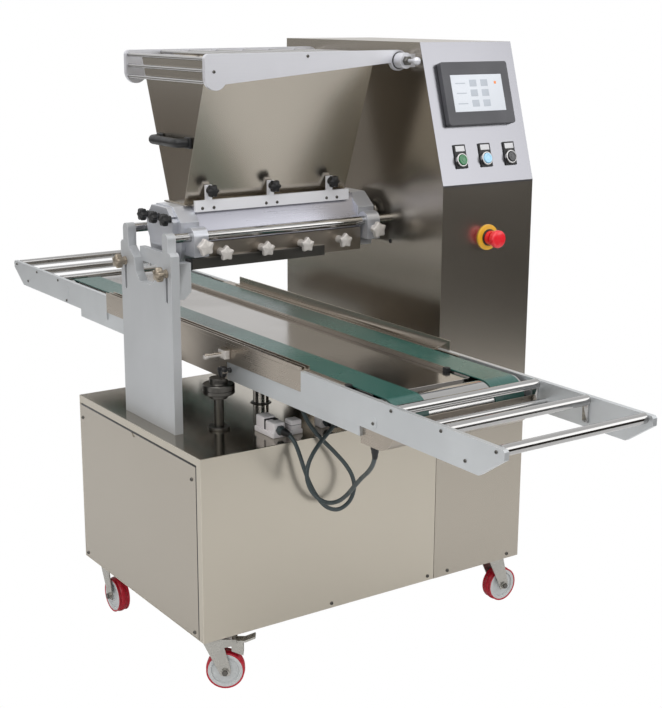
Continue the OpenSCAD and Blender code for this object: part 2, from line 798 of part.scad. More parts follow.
// End plates with the rollers' bearings and a lug round each rod
module end_plate(x, lug_x, rear_x) {
    half = [[64, nozzle_z + 4], [rod_y - 19, nozzle_z + 38], [rod_y - 19, rod_z + 28], [36, head_top]];
    difference() {
        union() {
            plate_x(x, end_t) polygon(both(half));
            front_lug(lug_x);
            rear_lug(rear_x);
        }
        for (s = [-1, 1]) {
            rod_x(x - eps, s * rod_y, rod_z, rod_d / 2, end_t + 2 * eps);
            rod_x(x - eps, s * roller_y, roller_z, shaft_d / 2 + run, end_t + 2 * eps);
        }
        rod_y(lug_x + lug_w / 2, -rod_y - lug_r - eps, clamp_z, 5, 30);
    }
}

clamp_z = rod_z - rod_d / 2 - 8;

module end_plates() {
    color([0.78, 0.79, 0.8]) {
        end_plate(head_x, trough_x - lug_w, trough_x - rear_lug_w);
        end_plate(trough_end, trough_end, trough_end);
    }
}

// Trough: block with the product channel, the two roller bores and the outlet slot
module trough() {
    half = [[foot_y, nozzle_z + nozzle_t], [foot_y, foot_z], [rim_y, head_top - rim_h], [rim_y, head_top]];
    color([0.74, 0.76, 0.79]) difference() {
        plate_x(trough_x, trough_len) polygon(both(half));
        box([trough_x + 8, -neck_y + 3, roller_z], [trough_end - 8, neck_y - 3, head_top + eps]);
        for (s = [-1, 1]) {
            rod_x(trough_x - eps, s * roller_y, roller_z, roller_d / 2 + slide, trough_len + 2 * eps);
        }
        box([trough_x + 8, -4, nozzle_z], [trough_end - 8, 4, roller_z]);
    }
}

// Cover over the rollers' free ends, with blind bearings
module roller_cover() {
    half = [[38, nozzle_z + 37], [56, nozzle_z + 64], [60, head_top - 30], [34, head_top - 2]];
    color([0.72, 0.75, 0.79]) difference() {
        plate_x(head_x - cover_t, cover_t) polygon(both(half));
        for (s = [-1, 1]) {
            rod_x(head_x - 8, s * roller_y, roller_z, shaft_d / 2 + run, 8 + eps);
        }
        for (y = cover_knob_ys) rod_x(head_x - cover_t - eps, y, cover_knob_z, 4, cover_t + 2 * eps);
    }
}

cover_knob_ys = [-50, 0, 50];
cover_knob_z = head_top - 24;

module cover_knobs() {
    color([0.08, 0.08, 0.08]) for (y = cover_knob_ys) {
        translate([head_x - cover_t, y, cover_knob_z]) rotate([0, -90, 0]) {
            lobed_knob(3, 14, 14, 6, 4, cover_t);
            cylinder(r = 7, h = 6);
        }
    }
}

// Nozzle bar: front clamp plate, bottom plate and the row of nozzle holes
module nozzle_bar() {
    half_len = trough_len / 2 - 4;
    mid = (trough_x + trough_end) / 2;
    color([0.7, 0.7, 0.71]) difference() {
        union() {
            box([mid - half_len, -nozzle_front, nozzle_z], [mid + half_len, foot_y, nozzle_z + nozzle_t]);
            box([mid - half_len, -nozzle_front, nozzle_z], [mid + half_len, -foot_y, nozzle_top]);
        }
        for (i = [-4:4]) {
            translate([feed_x + i * 42, 0, nozzle_z - eps]) cylinder(r = 6, h = nozzle_t + 2 * eps);
        }
        for (i = [0:3]) rod_y(star_x(i), -nozzle_front - eps, star_z, 4 + run, 14);
    }
}

function star_x(i) = feed_x + (i - 1.5) * star_pitch;

module star_knob(i) {
    color([0.8, 0.78, 0.75]) translate([star_x(i), -nozzle_front, star_z]) rotate([90, 0, 0]) {
        lobed_knob(5, star_r, 12, 22, 4, 11);
        translate([0, 0, 14]) cylinder(r = 8, h = 9);
    }
}

// Knobs that tighten the front lugs on the front rod
module clamp_knob(x) {
    color([0.8, 0.76, 0.72]) translate([x + lug_w / 2, -rod_y - lug_r, clamp_z]) rotate([90, 0, 0]) {
        lobed_knob(5, star_r + 2, 14, 10, 5 - run, 24);
        translate([0, 0, slide]) cylinder(r = 9, h = 10);
    }
}

// Feed rollers with their pinions, which mesh between the head and the tower
pinion_w = min(14, tower_x - trough_end - end_t - 6);
pinion_x = trough_end + end_t + 2;
function pinion_point(k) =
    let (m = 2 * roller_y / pinion_teeth, tooth = floor(k / 4), part = k % 4, p = 360 / pinion_teeth,
         r = (part == 0 || part == 3) ? roller_y - 1.3 * m : roller_y + 0.9 * m,
         a = [-0.29, -0.12, 0.12, 0.29][part] * p)
    r * [cos(tooth * p + a), sin(tooth * p + a)];

module feed_roller(s) {
    color([0.75, 0.75, 0.76]) {
        rod_x(trough_x + slide, s * roller_y, roller_z, roller_d / 2, trough_len - 2 * slide);
        rod_x(head_x - 7, s * roller_y, roller_z, shaft_d / 2, tower_x + 40 - head_x + 7);
        translate([pinion_x, s * roller_y, roller_z]) rotate([90, 0, 90])
            rotate(s > 0 ? 180 / pinion_teeth : 0) linear_extrude(pinion_w)
                polygon([for (k = [0:4 * pinion_teeth - 1]) pinion_point(k)]);
    }
}

// Gearbox on the tower's inner wall with the shafts' bearings, and the motor under it
module drive_unit() {
    x0 = tower_x + sheet;
    color([0.3, 0.33, 0.36]) difference() {
        union() {
            box([x0, -70, roller_z - 55], [x0 + 10, 70, roller_z + 55]);
            box([x0, -60, roller_z - 45], [x0 + 100, 60, roller_z + 45]);
            translate([x0 + 55, 0, roller_z - 260]) cylinder(r = 48, h = 220);
        }
        for (s = [-1, 1]) {
            rod_x(x0 - eps, s * roller_y, roller_z, shaft_d / 2 + run, 44);
        }
    }
}

// Strips that clamp the hopper's foot to the trough, with tabs for the hopper knobs
module hopper_strips() {
    x0 = hopper_x + 4;
    x1 = hopper_x + hopper_len - 4;
    z0 = head_top - strip_drop;
    color([0.86, 0.87, 0.89]) for (s = [-1, 1]) {
        y = s > 0 ? rim_y : -rim_y - strip_t;
        difference() {
            union() {
                box([max(x0, trough_x), y, z0], [min(x1, trough_end), y + strip_t, head_top + strip_rise]);
                if (s < 0) for (i = [-1:1]) box([hopper_knob_x(i) - 7, y, z0],
                    [hopper_knob_x(i) + 7, y + strip_t, head_top + tab_rise]);
            }
            if (s < 0) for (i = [-1:1]) {
                rod_y(hopper_knob_x(i), y - eps, head_top + knob_rise, 3, strip_t + 2 * eps);
            }
        }
    }
}

function hopper_knob_x(i) = feed_x - 4 + i * hopper_pitch;

module hopper_knobs() {
    color([0.07, 0.07, 0.07]) for (i = [-1:1]) {
        translate([hopper_knob_x(i), -rim_y - strip_t, head_top + knob_rise]) rotate([90, 0, 0]) {
            lobed_knob(6, 13, 14, 8, 3, strip_t);
            cylinder(r = 7, h = 8);
        }
    }
}

// Hopper and guard

function hopper_half(z) =
    neck_y + (z - hopper_z) * (hopper_top_w / 2 - neck_y) / (hopper_top - hopper_z);

// Sheet hopper: sloped long walls, upright ends and a foot with the outlet
module hopper() {
    wall = sheet / cos(atan2(hopper_top_w / 2 - neck_y, hopper_top - hopper_z));
    x1 = hopper_x + hopper_len;
    ends = [[neck_y, hopper_z], [hopper_top_w / 2, hopper_top]];
    side = [[neck_y, hopper_z], [hopper_top_w / 2, hopper_top], [hopper_top_w / 2 - wall, hopper_top],
            [neck_y - wall, hopper_z]];
    color([0.65, 0.62, 0.57]) {
        plate_x(hopper_x, hopper_len) polygon(side);
        plate_x(hopper_x, hopper_len) polygon([for (p = side) [-p[0], p[1]]]);
        for (x = [hopper_x, x1 - sheet]) plate_x(x, sheet) polygon(both(ends));
        difference() {
            box([hopper_x - 4, -rim_y, head_top], [x1 + 4, rim_y, hopper_z]);
            box([trough_x + 8, -neck_y + 3, head_top - eps], [trough_end - 8, neck_y - 3, hopper_z + eps]);
        }
    }
}

// Bridge handle on the hopper's left end
handle_out = 34;
module hopper_handle() {
    z = top_z + handle_h;
    color([0.05, 0.05, 0.05]) {
        box([hopper_x - handle_out, -handle_len / 2, z - 10],
            [hopper_x - handle_out + 13, handle_len / 2, z + 10]);
        for (s = [-1, 1]) {
            y = s * (handle_len / 2 - 12);
            box([hopper_x - handle_out, y - 12, z - 10], [hopper_x, y + 12, z + 10]);
        }
    }
}

// Tapered side plates with a round lobe at the free end and the hinge bore at the other
module guard_plates() {
    color([0.82, 0.82, 0.85]) for (s = [-1, 1]) {
        difference() {
            plate_y(s > 0 ? guard_back : -guard_y - guard_t, guard_t) {
                polygon([[guard_x + lobe_r, lobe_z - lobe_r + 10], [hinge_x, hinge_z - hinge_r],
                         [hinge_x, guard_top], [guard_x + 10, guard_top - 3], [guard_x, guard_top - 13],
                         [guard_x, lobe_z], [guard_x + lobe_r, lobe_z]]);
                translate([guard_x + lobe_r, lobe_z]) circle(lobe_r);
                translate([guard_x + 10, guard_top - 13]) circle(10);
                translate([hinge_x, hinge_z]) circle(hinge_r);
            }
            rod_y(hinge_x, -guard_y - guard_t - eps, hinge_z, hinge_d / 2 + run, guard_w + 2 * eps);
            for (p = guard_bar_places()) {
                rod_y(p[0], -guard_y - guard_t - eps, p[1], guard_bar_d / 2, guard_w + 2 * eps);
            }
        }
    }
}

function guard_bar_places() = concat(
    [for (i = [0:2]) [guard_x + 7, guard_top - 13 - 23 * i]],
    [for (i = [1:6]) [guard_x + 18 + i * (hinge_x - guard_x - 60) / 6, guard_top - guard_bar_d / 2 - 4]]);

module guard_bars() {
    color([0.78, 0.78, 0.8]) for (p = guard_bar_places()) {
        rod_y(p[0], -guard_y - guard_t, p[1], guard_bar_d / 2, guard_w);
    }
}

// Hinge shaft of the guard, held by two blocks on the tower
module guard_bracket() {
    out = guard_y + guard_t + slide;
    color([0.85, 0.85, 0.87]) {
        rod_y(hinge_x, -out - 34, hinge_z, hinge_d / 2, guard_w + 2 * slide + 68);
        for (s = [-1, 1]) {
            y = s > 0 ? guard_back + guard_t + slide : -out - 26;
            rod_y(hinge_x, y, hinge_z, 17, 26);
            box([hinge_x, y + 2, hinge_z - 14], [tower_x, y + 24, hinge_z + 14]);
        }
        rod_y(hinge_x, -out - 62, hinge_z, 4, 32);
        translate([hinge_x, -out - 62, hinge_z]) sphere(9);
    }
}

// Conveyor

// Stainless side channels, with their splices, the bed's brackets, the cross members and a cable gland
module side_rails() {
    skin = both([[tongue_y, rail_z], [tongue_y, tongue_top], [rail_y, tongue_top], [rail_y, conv_z]]);
    a1 = cable_a_route[len(cable_a_route) - 1];
    color([0.7, 0.69, 0.66]) {
        for (s = [-1, 1]) across(s) {
            plate_x(near_x, web_t) polygon(skin);
            box([near_x + web_t - 1, -tongue_y, rail_z], [near_x + 20, tongue_y, rail_z + web_t]);
            box([near_x + web_t - 1, -rail_y, conv_z - web_t], [near_x + 22, rail_y, conv_z]);
            for (e = [-1, 1]) {
                box([near_x + ext_t, e * rail_y - splice_len, conv_z - ext_h + 8],
                    [near_x + ext_t + 4, e * rail_y + splice_len, conv_z - 1]);
                box([near_x + ext_t, e * bracket_y - 20, bed_low - bed_t - 12],
                    [near_x + ext_t + 30, e * bracket_y + 20, bed_low - bed_t]);
            }
        }
        for (y = [-cross_y, 0, cross_y]) {
            box([near_x + 1, y - 15, cross_z], [far_x - 1, y + 15, bed_low - bed_t]);
        }
        translate(a1) cylinder(r = cable_d / 2 + 3, h = cross_z - a1[2] + 1);
    }
}

// Polished bed, low in the middle, with a raised slider under each belt
module slider_bed() {
    color([0.75, 0.74, 0.72]) {
        box([near_x + 24, -bed_front, bed_low - bed_t], [far_x - 24, bed_back, bed_low]);
        for (s = [-1, 1]) across(s) {
            box([belt_x, -bed_front, bed_low - 1], [belt_x + belt_w + 2, bed_back, bed_z]);
        }
    }
}

// Outline of a loop round both drums, a distance off their faces: its upper run is level and its
// lower run is the upper one mirrored in the line between the axles
module belt_loop(off) {
    r1 = drum_d / 2 + off;
    r2 = tail_d / 2 + off;
    tilt = 2 * atan2(tail_z - drum_z, 2 * drum_y);
    down = [sin(tilt), -cos(tilt)];
    translate([-drum_y, drum_z]) circle(r1);
    translate([drum_y, tail_z]) circle(r2);
    polygon([[-drum_y, drum_z + r1], [drum_y, tail_z + r2], [drum_y, tail_z] + r2 * down,
             [-drum_y, drum_z] + r1 * down]);
}

// Two endless belts round the drums
module belts() {
    color([0.14, 0.42, 0.36]) for (x = [belt_x, 2 * feed_x - belt_x - belt_w]) {
        plate_x(x, belt_w) difference() {
            belt_loop(belt_t);
            belt_loop(run);
        }
    }
}

// Drum with its axle, borne in the extension plates
module drum(y, z, d) {
    color([0.8, 0.8, 0.8]) {
        rod_x(feed_x - drum_len / 2, y, z, d / 2, drum_len);
        rod_x(near_x + 1, y, z, axle_d / 2, conv_w - 2);
    }
}

// Extension plates with cut-away tips, the drums' bearings and a tongue along the rail
module extension_plates() {
    main = [[rail_y, conv_z - ext_h], [tip_y - 62, conv_z - ext_h], [tip_y, conv_z - 18],
            [tip_y, conv_z - 4], [tip_y - 4, conv_z], [rail_y, conv_z]];
    color([0.75, 0.76, 0.77]) for (e = [-1, 1], s = [-1, 1]) across(s) {
        difference() {
            union() {
                plate_x(near_x, ext_t) polygon([for (p = main) [e * p[0], p[1]]]);
                box([near_x + web_t, e > 0 ? tongue_y : -tongue_end, rail_z],
                    [near_x + ext_t, e > 0 ? tongue_back : -tongue_y, tongue_top]);
            }
            rod_x(near_x - eps, e * drum_y, e > 0 ? tail_z : drum_z, axle_d / 2 + run, ext_t + 2 * eps);
        }
    }
}

// Chrome bars between the extension plates, on legs, with a lower tie
module tray_bars() {
    x0 = near_x + ext_t;
    l = conv_w - 2 * ext_t;
    color([0.83, 0.83, 0.84]) for (e = [-1, 1]) {
        for (y = bar_ys) {
            rod_x(x0, e * y, bar_z, bar_d / 2, l);
        }
        for (y = [bar_ys[0], bar_ys[1]], x = [x0, x0 + l - 4]) {
            box([x, e * y - 7, conv_z - ext_h + 10], [x + 4, e * y + 7, bar_z]);
        }
        rod_x(x0, e * tie_y, tie_z, 7, l);
    }
}

// Ribbed guides on the near rail and beside the far belt, upright guide on the far rail, and a clamp
module guide_strips() {
    clamp_y = -tongue_y - 5;
    color([0.6, 0.59, 0.57]) {
        box([near_x, -rail_y, conv_z], [near_x + 22, rail_y, conv_z + 2]);
        for (x = [0, 9, 19.5]) {
            box([near_x + x, -rail_y, conv_z + 1], [near_x + x + 2.5, rail_y, conv_z + 8]);
        }
        box([track_x, -track_y, bed_low], [track_x + 8, track_y, conv_z - 2]);
        for (x = [0, 5.5]) {
            box([track_x + x, -track_y, bed_low], [track_x + x + 2.5, track_y, conv_z + 2]);
        }
        box([far_x - 16, -rail_y, conv_z], [far_x, guide_back, conv_z + 3]);
        box([far_x - 3, -guide_front, conv_z], [far_x, guide_back, conv_z + guide_rise]);
        box([near_x - 12, clamp_y - 14, conv_z - 30], [near_x, clamp_y + 14, conv_z - 12]);
        rod_x(near_x - 46, clamp_y + 4, conv_z - 23, 3.5, 36);
        rod_x(near_x - 52, clamp_y + 4, conv_z - 23, 5, 10);
        translate([near_x + web_t, clamp_y - 11, conv_z - 58]) rotate([0, -90, 0])
            lobed_knob(3, 12, 12, 14, 3.5, 0);
    }
}

// Round covers under the drums, closed at their ends, with a cable gland at the front
module drum_covers() {
    color([0.62, 0.6, 0.57]) {
        drum_cover(-1, drum_z, cover_r(drum_d));
        drum_cover(1, tail_z, cover_r(tail_d));
        translate(cable_b_route[0]) cylinder(r = cable_d / 2 + 3, h = cover_low + 1 - cable_b_route[0][2]);
    }
}

module drum_cover(e, z, r) {
    out = r + sheet;
    plate_x(near_x + ext_t, conv_w - 2 * ext_t) {
        difference() {
            translate([e * drum_y, z]) circle(out);
            translate([e * drum_y, z]) circle(r);
            translate([e > 0 ? drum_y - out - eps : -drum_y, z - out - eps])
                square([out + eps, 2 * (out + eps)]);
            translate([e * drum_y - out - eps, z + 12]) square([2 * (out + eps), out]);
        }
        cover_foot(e, z - out, sheet);
    }
    for (s = [-1, 1]) across(s) plate_x(near_x + ext_t, sheet) difference() {
        union() {
            translate([e * drum_y, z]) circle(out);
            cover_foot(e, z - out, cheek_top - z + out);
        }
        translate([e * drum_y - 2 * out, cheek_top]) square([4 * out, 4 * out]);
    }
}

// Flat foot of a cover, from under the axle towards the middle
module cover_foot(e, z, h) {
    translate([e > 0 ? drum_y - cover_lip : -drum_y, z]) square([cover_lip, h]);
}

// Lift: columns with collars, the ram, and their guides in the cabinet

function bush_d() = column_d + 16;

module lift_columns() {
    color([0.7, 0.7, 0.71]) {
        column_places() {
            translate([0, 0, column_low]) cylinder(d = column_d, h = rail_z - column_low - 1);
            translate([0, 0, rail_z - collar_h]) cylinder(d = collar_w - 30, h = collar_h);
            translate([0, 0, rail_z - collar_h + 10]) cylinder(d = collar_w, h = collar_h - 23);
        }
        translate([feed_x, 0, column_low]) cylinder(d = ram_d, h = cross_z - column_low);
    }
}

// Flanged bushes for the columns, and the jack's tube, motor and foot for the ram
module lift_guides() {
    tube_r = ram_d / 2 + 5;
    color([0.45, 0.45, 0.46]) {
        column_places() difference() {
            union() {
                translate([0, 0, top_z - bush_drop]) cylinder(d = bush_d() - 0.2, h = bush_drop + eps);
                translate([0, 0, top_z]) cylinder(d = bush_d() + 10, h = bush_rise);
            }
            translate([0, 0, top_z - bush_drop - eps])
                cylinder(d = column_d + 2 * run, h = bush_drop + bush_rise + 2 * eps);
        }
        translate([feed_x, 0, 0]) difference() {
            union() {
                translate([0, 0, under_z + sheet]) cylinder(r = tube_r, h = cab_h - 2 * sheet + 4);
                translate([-70, -70, under_z + sheet]) cube([140, 140, 12]);
                translate([0, 0, under_z + 70]) rotate([90, 0, 0]) cylinder(r = 38, h = 170);
            }
            translate([0, 0, under_z + 120]) cylinder(r = ram_d / 2 + run, h = cab_h);
        }
    }
}

// Wiring

// Hooded connector with its gland, a capped socket, the second cable's plug, and the
// gland for the mains lead at the tower's foot
module connectors() {
    a0 = cable_a_route[0];
    b1 = cable_b_route[len(cable_b_route) - 1];
    color([0.78, 0.76, 0.77]) {
        box([a0[0] - 17, a0[1] + 22, top_z], [a0[0] + 17, a0[1] + 98, top_z + 12]);
        box([a0[0] - 14, a0[1] + 25, top_z + 11], [a0[0] + 14, a0[1] + 95, top_z + 36]);
        rod_y(a0[0], a0[1], a0[2], cable_d / 2 + 4, 26);
        box([a0[0] + 29, a0[1] + 24, top_z], [a0[0] + 59, a0[1] + 54, top_z + 10]);
        translate([a0[0] + 44, a0[1] + 39, top_z + 9]) cylinder(r = 13, h = 22);
        rod_y(b1[0], b1[1], b1[2], cable_d / 2 + 3, 24);
        box([b1[0] - 14, b1[1] + 22, top_z], [b1[0] + 14, b1[1] + 50, top_z + 30]);
        difference() {
            union() {
                rod_y(tower_x + 70, tower_back, under_z + 70, 16, 6);
                rod_y(tower_x + 70, tower_back + 5, under_z + 70, 11, 19);
            }
            rod_y(tower_x + 70, tower_back - eps, under_z + 70, mains_d / 2, 26);
        }
    }
}

module cable_a() {
    color([0.25, 0.29, 0.3]) swept_tube(cable_a_route, cable_d / 2, [0, -1, 0], [0, 0, 1]);
}

module cable_b() {
    color([0.25, 0.29, 0.3]) swept_tube(cable_b_route, cable_d / 2, [0, 0, -1], [0, 1, 0]);
}

cabinet_shell();
service_panels();
tower_shell();
hmi_panel();
button_bezels();
push_button(-1, [0.1, 0.5, 0.25]);  // button_green
push_button(0, [0.6, 0.75, 0.85]);  // button_blue
push_button(1, [0.15, 0.15, 0.16]);  // button_black
estop_collar();
estop_button();
caster_plates();
braked_fork();  // fork_fl
caster_fork(caster_fr);  // fork_fr
caster_fork(caster_bl);  // fork_bl
caster_fork(caster_br);  // fork_br
caster_wheel(caster_fl);  // wheel_fl
caster_wheel(caster_fr);  // wheel_fr
caster_wheel(caster_bl);  // wheel_bl
caster_wheel(caster_br);  // wheel_br
brake_pedal();
support_plate();
guide_rods();
front_rail();
yoke_knob(-1);  // yoke_knob_front
yoke_knob(1);  // yoke_knob_rear
end_plates();
trough();
roller_cover();
cover_knobs();
nozzle_bar();
feed_roller(-1);  // feed_roller_front
feed_roller(1);  // feed_roller_rear
drive_unit();
star_knob(0);  // star_knob_1
star_knob(1);  // star_knob_2
star_knob(2);  // star_knob_3
star_knob(3);  // star_knob_4
clamp_knob(trough_x - lug_w);  // clamp_knob_left
clamp_knob(trough_end);  // clamp_knob_right
hopper_strips();
hopper_knobs();
hopper();
hopper_handle();
guard_plates();
guard_bars();
guard_bracket();
side_rails();
slider_bed();
belts();
drum(-drum_y, drum_z, drum_d);  // drive_drum
drum(drum_y, tail_z, tail_d);  // tail_drum
extension_plates();
tray_bars();
guide_strips();
drum_covers();
lift_columns();
lift_guides();
connectors();
cable_a();
cable_b();
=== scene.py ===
"""Looks of a cream filling machine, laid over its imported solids.

Metres, +Z up, the operator's front towards -Y and the control tower towards +X.
"""

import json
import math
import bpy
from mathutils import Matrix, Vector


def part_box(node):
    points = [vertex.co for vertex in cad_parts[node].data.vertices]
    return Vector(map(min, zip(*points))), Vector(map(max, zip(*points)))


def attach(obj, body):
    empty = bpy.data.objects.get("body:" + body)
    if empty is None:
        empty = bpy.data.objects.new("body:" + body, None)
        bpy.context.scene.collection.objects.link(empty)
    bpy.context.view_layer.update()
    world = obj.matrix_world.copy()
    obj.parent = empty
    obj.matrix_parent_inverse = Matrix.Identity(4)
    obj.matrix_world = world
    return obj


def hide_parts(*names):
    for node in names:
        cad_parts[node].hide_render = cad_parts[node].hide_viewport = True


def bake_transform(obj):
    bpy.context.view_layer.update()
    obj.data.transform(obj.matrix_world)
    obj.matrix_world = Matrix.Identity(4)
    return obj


bl_info = {
    "name": "Cream filling machine looks",
    "version": (1, 0, 0),
    "blender": (4, 5, 0),
    "location": "3D View > Sidebar > Filling machine",
    "description": "Finishes, cables, controls, knobs and casters of a cream filling machine",
    "category": "Object",
}

from collections import namedtuple

import bmesh
import bpy
import numpy as np
from bpy.props import FloatProperty, FloatVectorProperty, IntProperty, PointerProperty
from mathutils import Matrix, Vector

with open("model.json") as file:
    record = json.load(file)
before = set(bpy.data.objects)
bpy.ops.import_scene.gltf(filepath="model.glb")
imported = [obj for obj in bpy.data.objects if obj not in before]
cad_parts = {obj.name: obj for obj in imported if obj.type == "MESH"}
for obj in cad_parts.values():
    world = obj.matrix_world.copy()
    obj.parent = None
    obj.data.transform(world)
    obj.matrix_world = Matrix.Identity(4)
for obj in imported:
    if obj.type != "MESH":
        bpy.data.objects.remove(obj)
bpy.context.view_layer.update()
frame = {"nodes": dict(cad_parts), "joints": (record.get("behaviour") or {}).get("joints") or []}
JOINTS = {joint["name"]: joint for joint in frame["joints"]}
TOWER_LOW, TOWER_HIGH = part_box("tower_shell")
CABINET_LOW, CABINET_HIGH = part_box("cabinet_shell")
DECK = CABINET_HIGH.z
BELT_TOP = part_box("belts")[1].z

# Directions used over and over
FRONT = (0.0, -1.0, 0.0)
BACK = (0.0, 1.0, 0.0)
LEFT = (-1.0, 0.0, 0.0)
UP = (0.0, 0.0, 1.0)
DOWN = (0.0, 0.0, -1.0)

# How near points are merged, in metres, in made shapes and in solids; the angle up to which faces count as
# flat; and how much more an edge turns, in degrees, before it shades sharp than before it is rolled over
SHAPE_DOUBLES, SOLID_DOUBLES = 1e-6, 2e-6
FLAT_ANGLE = math.radians(0.4)
CREASE_MARGIN = 16

# What all finishes share: the range that most of a noise lies in; how far hairlines and clouds darken and the
# share that clouds cover; how rolled edges brighten, partly as wear and partly as a painted highlight; then, in
# metres, the depth of a sheet's bulges and of a fine grain, and how deep under a face its own finish, with its
# painted tint, starts and is whole
MID_NOISE = (0.25, 0.75)
HAIR_DARK, CLOUD_DARK, CLOUD_SHARE = 0.4, 1.6, 0.6
EDGE_GAIN, EDGE_LIFT = 1.25, 0.04
BULGE_DEPTH, GRAIN_DEPTH = 0.02, 0.0004
FACE_START, FACE_WHOLE = 0.0016, 0.0009

# Routes of the two cables, the same points as in the part's source
CABLE_A_ROUTE = (
    (-0.235, -0.276, 0.547), (-0.234, -0.290, 0.544), (-0.232, -0.302, 0.536), (-0.229, -0.310, 0.523),
    (-0.224, -0.315, 0.503), (-0.214, -0.319, 0.469), (-0.202, -0.323, 0.436), (-0.185, -0.327, 0.405),
    (-0.163, -0.329, 0.382), (-0.135, -0.330, 0.373), (-0.108, -0.330, 0.385), (-0.095, -0.329, 0.412),
    (-0.099, -0.327, 0.440), (-0.115, -0.323, 0.469), (-0.138, -0.316, 0.498), (-0.162, -0.307, 0.526),
    (-0.180, -0.294, 0.552), (-0.190, -0.280, 0.579), (-0.193, -0.266, 0.609), (-0.191, -0.255, 0.639),
    (-0.190, -0.250, 0.669),
)
CABLE_B_ROUTE = (
    (-0.278, -0.650, 0.618), (-0.277, -0.648, 0.605), (-0.274, -0.641, 0.592), (-0.266, -0.624, 0.576),
    (-0.252, -0.592, 0.553), (-0.236, -0.550, 0.526), (-0.221, -0.505, 0.493), (-0.209, -0.462, 0.459),
    (-0.204, -0.425, 0.434), (-0.206, -0.392, 0.421), (-0.214, -0.367, 0.425), (-0.222, -0.352, 0.441),
    (-0.226, -0.344, 0.464), (-0.221, -0.339, 0.487), (-0.207, -0.335, 0.509), (-0.186, -0.329, 0.527),
    (-0.162, -0.319, 0.539), (-0.139, -0.304, 0.545), (-0.121, -0.286, 0.545), (-0.112, -0.270, 0.544),
)


# Settings that a user would change


def linear(red, green, blue):
    """A display colour of 0 to 255 as linear light."""
    share = np.array([red, green, blue]) / 255
    return tuple(np.where(share <= 0.04045, share / 12.92, ((share + 0.055) / 1.055) ** 2.4))


def colour(name, description, red, green, blue):
    """A colour property, given as a display colour."""
    return FloatVectorProperty(name=name, description=description, subtype="COLOR", min=0, max=1,
                               default=linear(red, green, blue))


def length(name, description, metres):
    """A length property in metres."""
    return FloatProperty(name=name, description=description, default=metres, min=0, unit="LENGTH", precision=4)


class FillingColours(bpy.types.PropertyGroup):
    """Colours of the machine's finishes."""

    satin_steel: colour("Satin steel", "Folded sheet of the tower and panels", 176, 169, 158)
    cabinet_steel: colour("Cabinet steel", "Folded sheet of the cabinet", 193, 186, 173)
    # Painted light: the console is the tower's steel, tinted on its own for the bright sky its slope reflects
    console_painted_light: colour("Console steel", "Sloping sheet that carries the controls", 154, 154, 159)
    hopper_steel: colour("Hopper steel", "Satin sheet of the hopper", 180, 173, 162)
    rail_steel: colour("Rail steel", "Darker satin sheet of the conveyor's rails", 170, 161, 150)
    support_grey: colour("Support grey", "Matte machined plate", 180, 182, 184)
    plate_aluminium: colour("Plate aluminium", "Satin anodised extension plates", 200, 203, 205)
    head_plate: colour("Head plate", "Satin aluminium of the depositing head", 198, 200, 206)
    guard_pale: colour("Guard", "Pale anodised guard", 214, 214, 219)
    bed_steel: colour("Bed", "Polished bed between the belts", 160, 156, 152)
    chromed_bar: colour("Chrome", "Hard chromed bars and rods", 176, 175, 174)
    dark_steel: colour("Dark steel", "Front rail, lift columns and screws", 104, 102, 98)
    pale_steel: colour("Pale steel", "Star knobs and strips", 200, 195, 190)
    # Painted light: the strips' tint is made brighter than the guard's to make up for the shade under the
    # hopper's overhang
    strip_pale: colour("Strip", "Bright strips that hold the hopper", 232, 232, 236)
    trough_steel: colour("Trough", "Satin sheet of the trough under the hopper", 172, 172, 181)
    brass_tone: colour("Warm steel", "Turned clamp knobs", 158, 147, 132)
    zinc: colour("Zinc", "Plated casters", 176, 174, 168)
    machine_grey: colour("Machine grey", "Painted castings inside", 90, 96, 102)
    black_knob: colour("Black plastic", "Moulded knobs and handle", 20, 20, 22)
    panel_plastic: colour("Panel frame", "Touch panel's frame", 74, 74, 78)
    screen_glass: colour("Screen", "Lit screen of the touch panel", 196, 200, 206)
    screen_tile: colour("Screen tiles", "Pale tiles on the screen", 168, 174, 182)
    screen_dot: colour("Screen dot", "Small warm lamp on the screen", 214, 122, 52)
    legend_white: colour("Legend insert", "Blank inserts above the buttons", 206, 206, 208)
    belt_green: colour("Belt", "Conveyor belts", 30, 84, 76)
    cable_grey: colour("Cable", "Cable sheath", 58, 68, 70)
    connector_pale: colour("Connector", "Moulded connectors", 226, 221, 222)
    # Painted shade, partly: the treads are red, made darker for the shade the wheels stand in
    wheel_red: colour("Tread", "Caster treads", 178, 16, 40)
    wheel_hub: colour("Hub", "Caster hubs", 190, 193, 193)
    button_green: colour("Green cap", "Start button", 22, 112, 62)
    button_blue: colour("Blue cap", "Lit button", 150, 196, 222)
    button_black: colour("Black cap", "Stop button", 32, 32, 36)
    estop_red: colour("Emergency red", "Mushroom head", 226, 30, 44)
    estop_yellow: colour("Emergency yellow", "Collar", 226, 172, 40)
    floor: colour("Floor", "Plain pale floor", 236, 236, 236)


class FillingSizes(bpy.types.PropertyGroup):
    """Sizes of the pieces that stand on the solids."""

    cable_diameter: length("Cable diameter", "Thickness of the two cables", 0.009)
    screw_diameter: length("Screw head", "Diameter of the pan-head screws", 0.0085)
    small_screw: length("Small screw head", "Diameter of the small socket screws", 0.0070)
    sheet_edge: length("Sheet edge", "Rounding of folded sheet edges", 0.0010)
    plate_edge: length("Plate edge", "Rounding of machined plate edges", 0.0009)
    star_radius: length("Star knob", "Radius over the lobes of a star knob", 0.017)
    clamp_radius: length("Clamp knob", "Radius over the lobes of a clamp knob", 0.019)
    yoke_radius: length("Yoke knob", "Radius over the lobes of a yoke knob", 0.016)
    black_radius: length("Black knob", "Radius over the lobes of a black knob", 0.0140)
    wheel_radius: length("Wheel", "Radius of a caster's tread", 0.042)
    console_foot: length("Console foot", "Height where the console starts to lean", 1.039)
    knob_lobes: IntProperty(name="Knob lobes", description="Lobes of a star knob", default=5, min=3, max=9)


